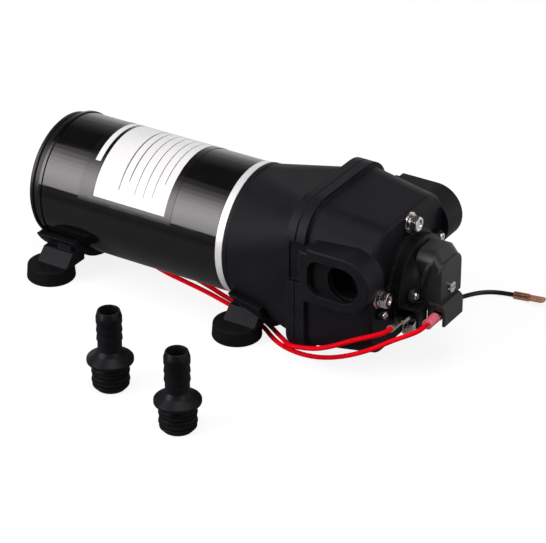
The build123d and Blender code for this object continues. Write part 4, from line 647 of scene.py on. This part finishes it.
def stacked(name, rows, closed=True):
    """A skin over rows of points; a row gives its height and radius, or functions of the turn."""
    form, levels = bmesh.new(), []
    for height, reach in rows:
        level = []
        for k in range(ROUND_STEPS):
            turn = math.tau * k / ROUND_STEPS
            radius = reach(turn) if callable(reach) else reach
            z = height(turn) if callable(height) else height
            spot = Vector((radius * math.cos(turn), radius * math.sin(turn), z))
            level.append(form.verts.new(spot * MM))
        levels.append(level)
    pairs = list(zip(levels, levels[1:]))
    if not closed:
        pairs.append((levels[-1], levels[0]))
    for low, high in pairs:
        for k in range(ROUND_STEPS):
            after = (k + 1) % ROUND_STEPS
            form.faces.new((low[k], low[after], high[after], high[k]))
    if closed:
        form.faces.new(levels[0][::-1])
        form.faces.new(levels[-1])
    mesh = bpy.data.meshes.new(name)
    form.to_mesh(mesh)
    form.free()
    return mesh


dish_floor = HEAD_HEIGHT - DISH_DEPTH
screw = stacked("one_screw", [
    (-GRIP, SCREW_RADIUS - TIP_CUT), (-GRIP + TIP_CUT, SCREW_RADIUS), (0.0, SCREW_RADIUS),
    (0.0, lambda turn: hex_reach(turn) - HEAD_FOOT_CUT), (HEAD_FOOT_CUT, hex_reach),
    (cut_corner, hex_reach), (HEAD_HEIGHT, TOP_RADIUS), (HEAD_HEIGHT, DISH_RADIUS + DISH_LIP),
    (HEAD_HEIGHT - DISH_LIP_DROP, DISH_RADIUS), (dish_floor, DISH_RADIUS - DISH_TAPER),
    (dish_floor, DISH_MIDDLE),
])
plain_washer = stacked("one_washer", WASHER_ROWS, closed=False)
print("points on one screw:", len(screw.vertices))

# %% [markdown]
# ## A split washer
# A spring washer is one turn of square wire whose ends pass each other. The tree bends an
# arc a little short of a full turn, lifts one end, and sweeps a square along it.

# %% Bend the split washer
SPLIT_TURN = math.radians(346)
bender, given = new_tree(
    "split_washer", Middle_radius=3.72 * MM, Wire=1.7 * MM, Thick=1.1 * MM, Lift=0.3 * MM,
)
arc = node(bender, "GeometryNodeCurveArc", {"mode": "RADIUS"}, Resolution=40,
           Radius=given["Middle_radius"], Sweep_Angle=SPLIT_TURN).outputs["Curve"]
share = node(bender, "GeometryNodeSplineParameter").outputs["Factor"]
climb = node(bender, "CombineXYZ", Z=sums(bender, "MULTIPLY", share, given["Lift"])).outputs[0]
lifted = node(bender, "GeometryNodeSetPosition", Geometry=arc, Offset=climb).outputs[0]
section = node(bender, "GeometryNodeCurvePrimitiveQuadrilateral", Width=given["Wire"],
               Height=given["Thick"]).outputs["Curve"]
end_tree(bender, given, swept(bender, lifted, section, Fill_Caps=True))
one_washer = follow("one_split_washer", bender)
split_washer = one_washer.data
bpy.data.objects.remove(one_washer)
print("points on one split washer:", len(split_washer.vertices))

# %% [markdown]
# ## The drill jig
# One tree sets whatever it is given at four points of a circle and lays the circle across
# the shaft, like a drill jig. A seeded random turn leaves every head and every split at its
# own angle, as a spanner does.

# %% Set four of each round the shaft
jig, given = new_tree("four_places", Circle=SCREW_CIRCLE * MM, Count=4, Seed=7)
spots = node(jig, "GeometryNodeMeshCircle", Vertices=given["Count"], Radius=given["Circle"])
chance = node(jig, "FunctionNodeRandomValue", {"data_type": "FLOAT"}, i2=0.0, i3=math.tau,
              Seed=given["Seed"])
spin = node(jig, "CombineXYZ", Z=chance.outputs[1]).outputs[0]
spin = node(jig, "FunctionNodeEulerToRotation", Euler=spin).outputs[0]
copies = node(jig, "GeometryNodeInstanceOnPoints", Points=spots.outputs[0],
              Instance=given["Shape"], Rotation=spin).outputs[0]
laid = node(jig, "GeometryNodeTransform", Geometry=copies, Rotation=(0.0, math.pi / 2, 0.0))
end_tree(jig, given, laid.outputs[0])

FACE_X, SEAT_GAP, WASHER, SPRING_WASHER = 147.1, 0.1, 1.1, 1.4
SPLIT_MIDDLE = 0.55  # half of the split washer's thickness
washer_x = FACE_X + SEAT_GAP
split_x = washer_x + WASHER + SEAT_GAP
head_x = split_x + SPRING_WASHER + SEAT_GAP
for name, one_shape, x, node_name, seed in (
    ("hexagon_screws", screw, head_x, "housing_screws", 7),
    ("plain_washers", plain_washer, washer_x, "flat_washers", 11),
    ("split_washers", split_washer, split_x + SPLIT_MIDDLE, "spring_washers", 3),
):
    grow(name, jig, "plated_steel", "pump", node_name, one_shape, (x, 0, AXIS_HEIGHT), Seed=seed)
print("screw heads stand at", round(head_x, 2))

# %% [markdown]
# ## The switch spring
# The spring of the pressure switch sits out of sight in the cover, between the plunger and
# the adjusting screw. The tree winds one round wire into a coil and lays it along the shaft's
# direction. The plunger presses it shorter by its own travel.

# %% Wind the spring
COIL_RADIUS, COIL_WIRE, COIL_TURNS, PLUNGER_TRAVEL = 4.2, 0.9, 5.0, 0.8
spring_node = frame["nodes"]["switch_spring"]
spring_box = [spring_node.matrix_world @ Vector(corner) for corner in spring_node.bound_box]
spring_low = Vector([min(corner[k] for corner in spring_box) / MM for k in range(3)])
spring_high = Vector([max(corner[k] for corner in spring_box) / MM for k in range(3)])
spring_length = spring_high.x - spring_low.x
middle = (spring_low + spring_high) / 2
winder, given = new_tree(
    "coil_spring", Middle_radius=(COIL_RADIUS - COIL_WIRE / 2) * MM,
    Wire_radius=COIL_WIRE / 2 * MM, Length=(spring_length - 2 * COIL_WIRE) * MM, Turns=COIL_TURNS,
)
coil = node(winder, "GeometryNodeCurveSpiral", Resolution=36, Rotations=given["Turns"],
            Start_Radius=given["Middle_radius"], End_Radius=given["Middle_radius"],
            Height=given["Length"]).outputs["Curve"]
section = node(winder, "GeometryNodeCurvePrimitiveCircle", Resolution=12,
               Radius=given["Wire_radius"]).outputs["Curve"]
wound = swept(winder, coil, section, Fill_Caps=True)
laid = node(winder, "GeometryNodeTransform", Geometry=wound, Rotation=(0.0, math.pi / 2, 0.0))
end_tree(winder, given, laid.outputs[0])
spring = grow("coiled_switch_spring", winder, "steel", "pump", "switch_spring",
              shift=(spring_low.x + COIL_WIRE, middle.y, middle.z))
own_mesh(spring)
print("spring from", round(spring_low.x, 2), "to", round(spring_high.x, 2))

# %% [markdown]
# ## A shorter rear cradle
# The real rear cradle ends just ahead of its feet, and the CAD one runs on a little under
# the can. A copy of it is merged, cut straight across, and closed again.

# %% Trim the rear cradle
CRADLE_END = -47.5
CRADLE_SHARP = math.radians(30)
form = bmesh.new()
form.from_mesh(frame["nodes"]["rear_cradle"].data)
bmesh.ops.remove_doubles(form, verts=form.verts[:], dist=WELD * MM)
every = form.verts[:] + form.edges[:] + form.faces[:]
bmesh.ops.bisect_plane(form, geom=every, plane_co=(CRADLE_END * MM, 0, 0), plane_no=(1, 0, 0),
                       clear_outer=True)
cut_edges = [edge for edge in form.edges if edge.is_boundary]
bmesh.ops.holes_fill(form, edges=cut_edges, sides=0)
bmesh.ops.recalc_face_normals(form, faces=form.faces[:])
open_edges = sum(edge.is_boundary for edge in form.edges)
cradle_mesh = bpy.data.meshes.new("short_rear_cradle")
form.to_mesh(cradle_mesh)
form.free()
if "custom_normal" in cradle_mesh.attributes:  # they belong to the uncut faces
    cradle_mesh.attributes.remove(cradle_mesh.attributes["custom_normal"])
cradle_mesh.set_sharp_from_angle(angle=CRADLE_SHARP)
cradle_mesh.materials.append(finishes["bracket_plastic"])
cradle = bpy.data.objects.new("short_rear_cradle", cradle_mesh)
scene.collection.objects.link(cradle)
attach(cradle, "pump")
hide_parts("rear_cradle")
print("open edges left on the cradle:", open_edges)

# %% [markdown]
# ## Dressing the CAD pieces
# The CAD pieces whose shape is right keep it, and only take a finish.

# %% Give each CAD piece its finish
WEARERS = {
    "can_paint": ["motor_can"],
    "cap_black": ["motor_end_cap"],
    "bright_plate": ["motor_front_plate"],
    "charcoal_plastic": ["nodding_plate", "lower_housing", "upper_housing"],
    "switch_plastic": ["port_slide_near", "port_slide_far", "switch_body", "micro_switch"],
    "cover_plastic": ["switch_cover"],
    "bracket_plastic": ["front_cradle"],
    "white_plastic": ["piston_caps", "valve_plate", "switch_plunger", "micro_switch_button"],
    "rubber_black": ["lead_grommets", "diaphragm", "inlet_valves", "outlet_valve", "head_seal",
                     "switch_diaphragm", "rubber_feet"],
    "steel": ["motor_through_bolts", "motor_shaft", "bearing_inner_rings", "bearing_outer_rings",
              "brush_springs", "hub_set_screw", "drive_ring_outer", "piston_screws"],
    "plated_steel": ["adjuster_screw", "switch_screws", "foot_bushes"],
    "tinned": ["switch_terminals", "supply_lead_end", "lead_receptacles"],
    "copper": ["rotor_windings", "commutator", "black_lead_end"],
    "brass": ["brush_boxes"],
    "alloy": ["drive_hub"],
    "lamination": ["rotor_core"],
    "magnet": ["motor_magnets"],
    "carbon": ["carbon_brushes"],
    "board": ["brush_plate"],
    "pink_sleeve": ["supply_lead_sleeve"],
}
for finish, names in WEARERS.items():
    for name in names:
        piece = frame["nodes"][name]
        piece.data.materials.clear()
        piece.data.materials.append(finishes[finish])
print("dressed:", sum(len(names) for names in WEARERS.values()))

# %% [markdown]
# ## The table
# Black gloss shows only what it mirrors, so the table is made for the motor's sake. It is
# grey paper, almost black towards the front, so that the lower side of the motor stays dark.
# It also glows just enough for the camera to see it as white, with faint shadows.

# %% Lay the table
TABLE_REACH = 4.0  # metres each way, as are the depths below
FRONT_DEPTHS = (-0.21, -0.13)  # where the table turns from its front edge into the rest
FRONT_GREY, TABLE_GREY = (0.01, 0.01, 0.01), (0.19, 0.19, 0.19)
FRONT_GLOW, TABLE_GLOW = 1.0, 0.86  # what the camera sees besides the lamps' light
MIRROR_DEPTHS, MIRROR_GLOW = (-0.05, 0.35), (0.0, 0.7)  # what gloss sees of the table behind

table_finish, tree, shader = blank_finish("table_white")
shader.inputs["Roughness"].default_value = 0.7
shader.inputs["Specular IOR Level"].default_value = 0.1
shader.inputs["Emission Color"].default_value = (1, 1, 1, 1)
rays = node(tree, "LightPath").outputs
depth = node(tree, "SeparateXYZ", Vector=node(tree, "TexCoord").outputs["Object"]).outputs["Y"]
past_front = spread(tree, depth, *FRONT_DEPTHS, 0.0, 1.0)
grey = colours(tree, past_front, (0.0, FRONT_GREY), (1.0, TABLE_GREY))
tree.links.new(grey, shader.inputs["Base Color"])
seen = sums(tree, "MAXIMUM", rays["Is Camera Ray"], rays["Is Transmission Ray"])
seen = sums(tree, "MULTIPLY", seen, spread(tree, depth, *FRONT_DEPTHS, FRONT_GLOW, TABLE_GLOW))
mirrored = spread(tree, depth, *MIRROR_DEPTHS, *MIRROR_GLOW)
mirrored = sums(tree, "MULTIPLY", rays["Is Glossy Ray"], mirrored)
tree.links.new(sums(tree, "MAXIMUM", seen, mirrored), shader.inputs["Emission Strength"])

table_mesh = bpy.data.meshes.new("table")
near, far = -TABLE_REACH, TABLE_REACH
table_corners = [(near, near, 0), (far, near, 0), (far, far, 0), (near, far, 0)]
table_mesh.from_pydata(table_corners, [], [(0, 1, 2, 3)])
table_mesh.materials.append(table_finish)
table = bpy.data.objects.new("table", table_mesh)
scene.collection.objects.link(table)
print("table of", 2 * TABLE_REACH, "m")

# %% [markdown]
# ## The sheet behind
# Behind the pump hangs a white sheet that darkens upwards, and the room in front is dark.
# The world stands for both. The camera sees it as plain white, and only what is mirrored or
# lit sees it as it is.

# %% Hang the sheet
SHEET_SIDE = (-0.15, 0.45)  # the way it lies, from beside the pump to behind it
SHEET_RISE, SHEET_GLOW = (0.05, 0.75), (1.0, 0.04)  # it darkens between these rises
ROOM_GLOW, ROOM_LIGHT = 0.04, 0.30  # the room as gloss mirrors it, and as it lights the pump

world = bpy.data.worlds.new("studio_world")
world.use_nodes = True
scene.world = world
tree = world.node_tree
tree.nodes.clear()
rays = node(tree, "LightPath").outputs
way = node(tree, "SeparateXYZ", Vector=node(tree, "TexCoord").outputs["Generated"]).outputs
side = spread(tree, way["Y"], *SHEET_SIDE, 0.0, 1.0)
sheet = sums(tree, "MULTIPLY", side, spread(tree, way["Z"], *SHEET_RISE, *SHEET_GLOW))
sheet = sums(tree, "MAXIMUM", sheet, ROOM_GLOW)
level = sums(tree, "MAXIMUM", rays["Is Camera Ray"], rays["Is Transmission Ray"])
level = sums(tree, "MAXIMUM", level, sums(tree, "MULTIPLY", rays["Is Glossy Ray"], sheet))
level = sums(tree, "MAXIMUM", level, sums(tree, "MULTIPLY", rays["Is Diffuse Ray"], ROOM_LIGHT))
back = node(tree, "Background", Color=(1, 1, 1, 1), Strength=level)
node(tree, "OutputWorld", Surface=back.outputs[0])
scene.view_settings.view_transform = "Standard"
print("world:", world.name)

# %% [markdown]
# ## Lamps
# The lamps are placed by what the motor has to reflect. A bank of soft boxes stands at the
# near left, from the table's edge upwards, brightest a third of the way up and fading above.
# It draws the long highlight along the can, with its sharp lower edge. Two fills, one above
# and one at the right, model the head and the switch.

# %% Set the lamps
AIM = Vector((0.03, 0.0, 0.05))  # metres
KEY_GLOW = [(0.5, 4.6), (10, 5.8), (21, 7.0), (32, 6.4), (42, 4.3), (51, 1.6), (58, 0.5), (62, 0.1)]
KEY_BOXES, KEY_AWAY, KEY_WIDTH = 12, 1.5, 0.75
KEY_TURN, KEY_LEAN = -29.0, -0.0065  # the bank leans aside with the square of its rise
KEY_TINT = (1.0, 0.945, 0.975)


def softbox(name, turn, rise, away, size, glow, tint=(1, 1, 1)):
    """A box of this glow, seen from the pump at this turn and this rise, in degrees."""
    lamp = bpy.data.lights.new(name, "AREA")
    lamp.shape, lamp.size, lamp.size_y = "RECTANGLE", *size
    lamp.energy, lamp.color = glow * math.pi * size[0] * size[1], tint
    box = bpy.data.objects.new(name, lamp)
    scene.collection.objects.link(box)
    way = toward(math.radians(turn), math.radians(rise))
    box.location = AIM + way * away
    look_along(box, -way)
    box.visible_camera = False


def key_glow(rise):
    """The glow at this rise, read off the table of rises and glows."""
    for (low, dim), (high, bright) in zip(KEY_GLOW, KEY_GLOW[1:]):
        if rise <= high:
            return dim + (bright - dim) * (rise - low) / (high - low)
    return 0.0


key_step = (KEY_GLOW[-1][0] - KEY_GLOW[0][0]) / KEY_BOXES
key_height = 2 * KEY_AWAY * math.tan(math.radians(key_step / 2))
for k in range(KEY_BOXES):
    rise = KEY_GLOW[0][0] + key_step * (k + 0.5)
    softbox("key_" + str(k), KEY_TURN + KEY_LEAN * rise ** 2, rise, KEY_AWAY,
            (KEY_WIDTH, key_height), key_glow(rise), KEY_TINT)
softbox("top_fill", turn=50, rise=72, away=1.3, size=(0.8, 0.8), glow=3.0)
softbox("right_fill", turn=75, rise=25, away=1.6, size=(0.7, 0.9), glow=2.6)
print("lamps:", KEY_BOXES + 2)
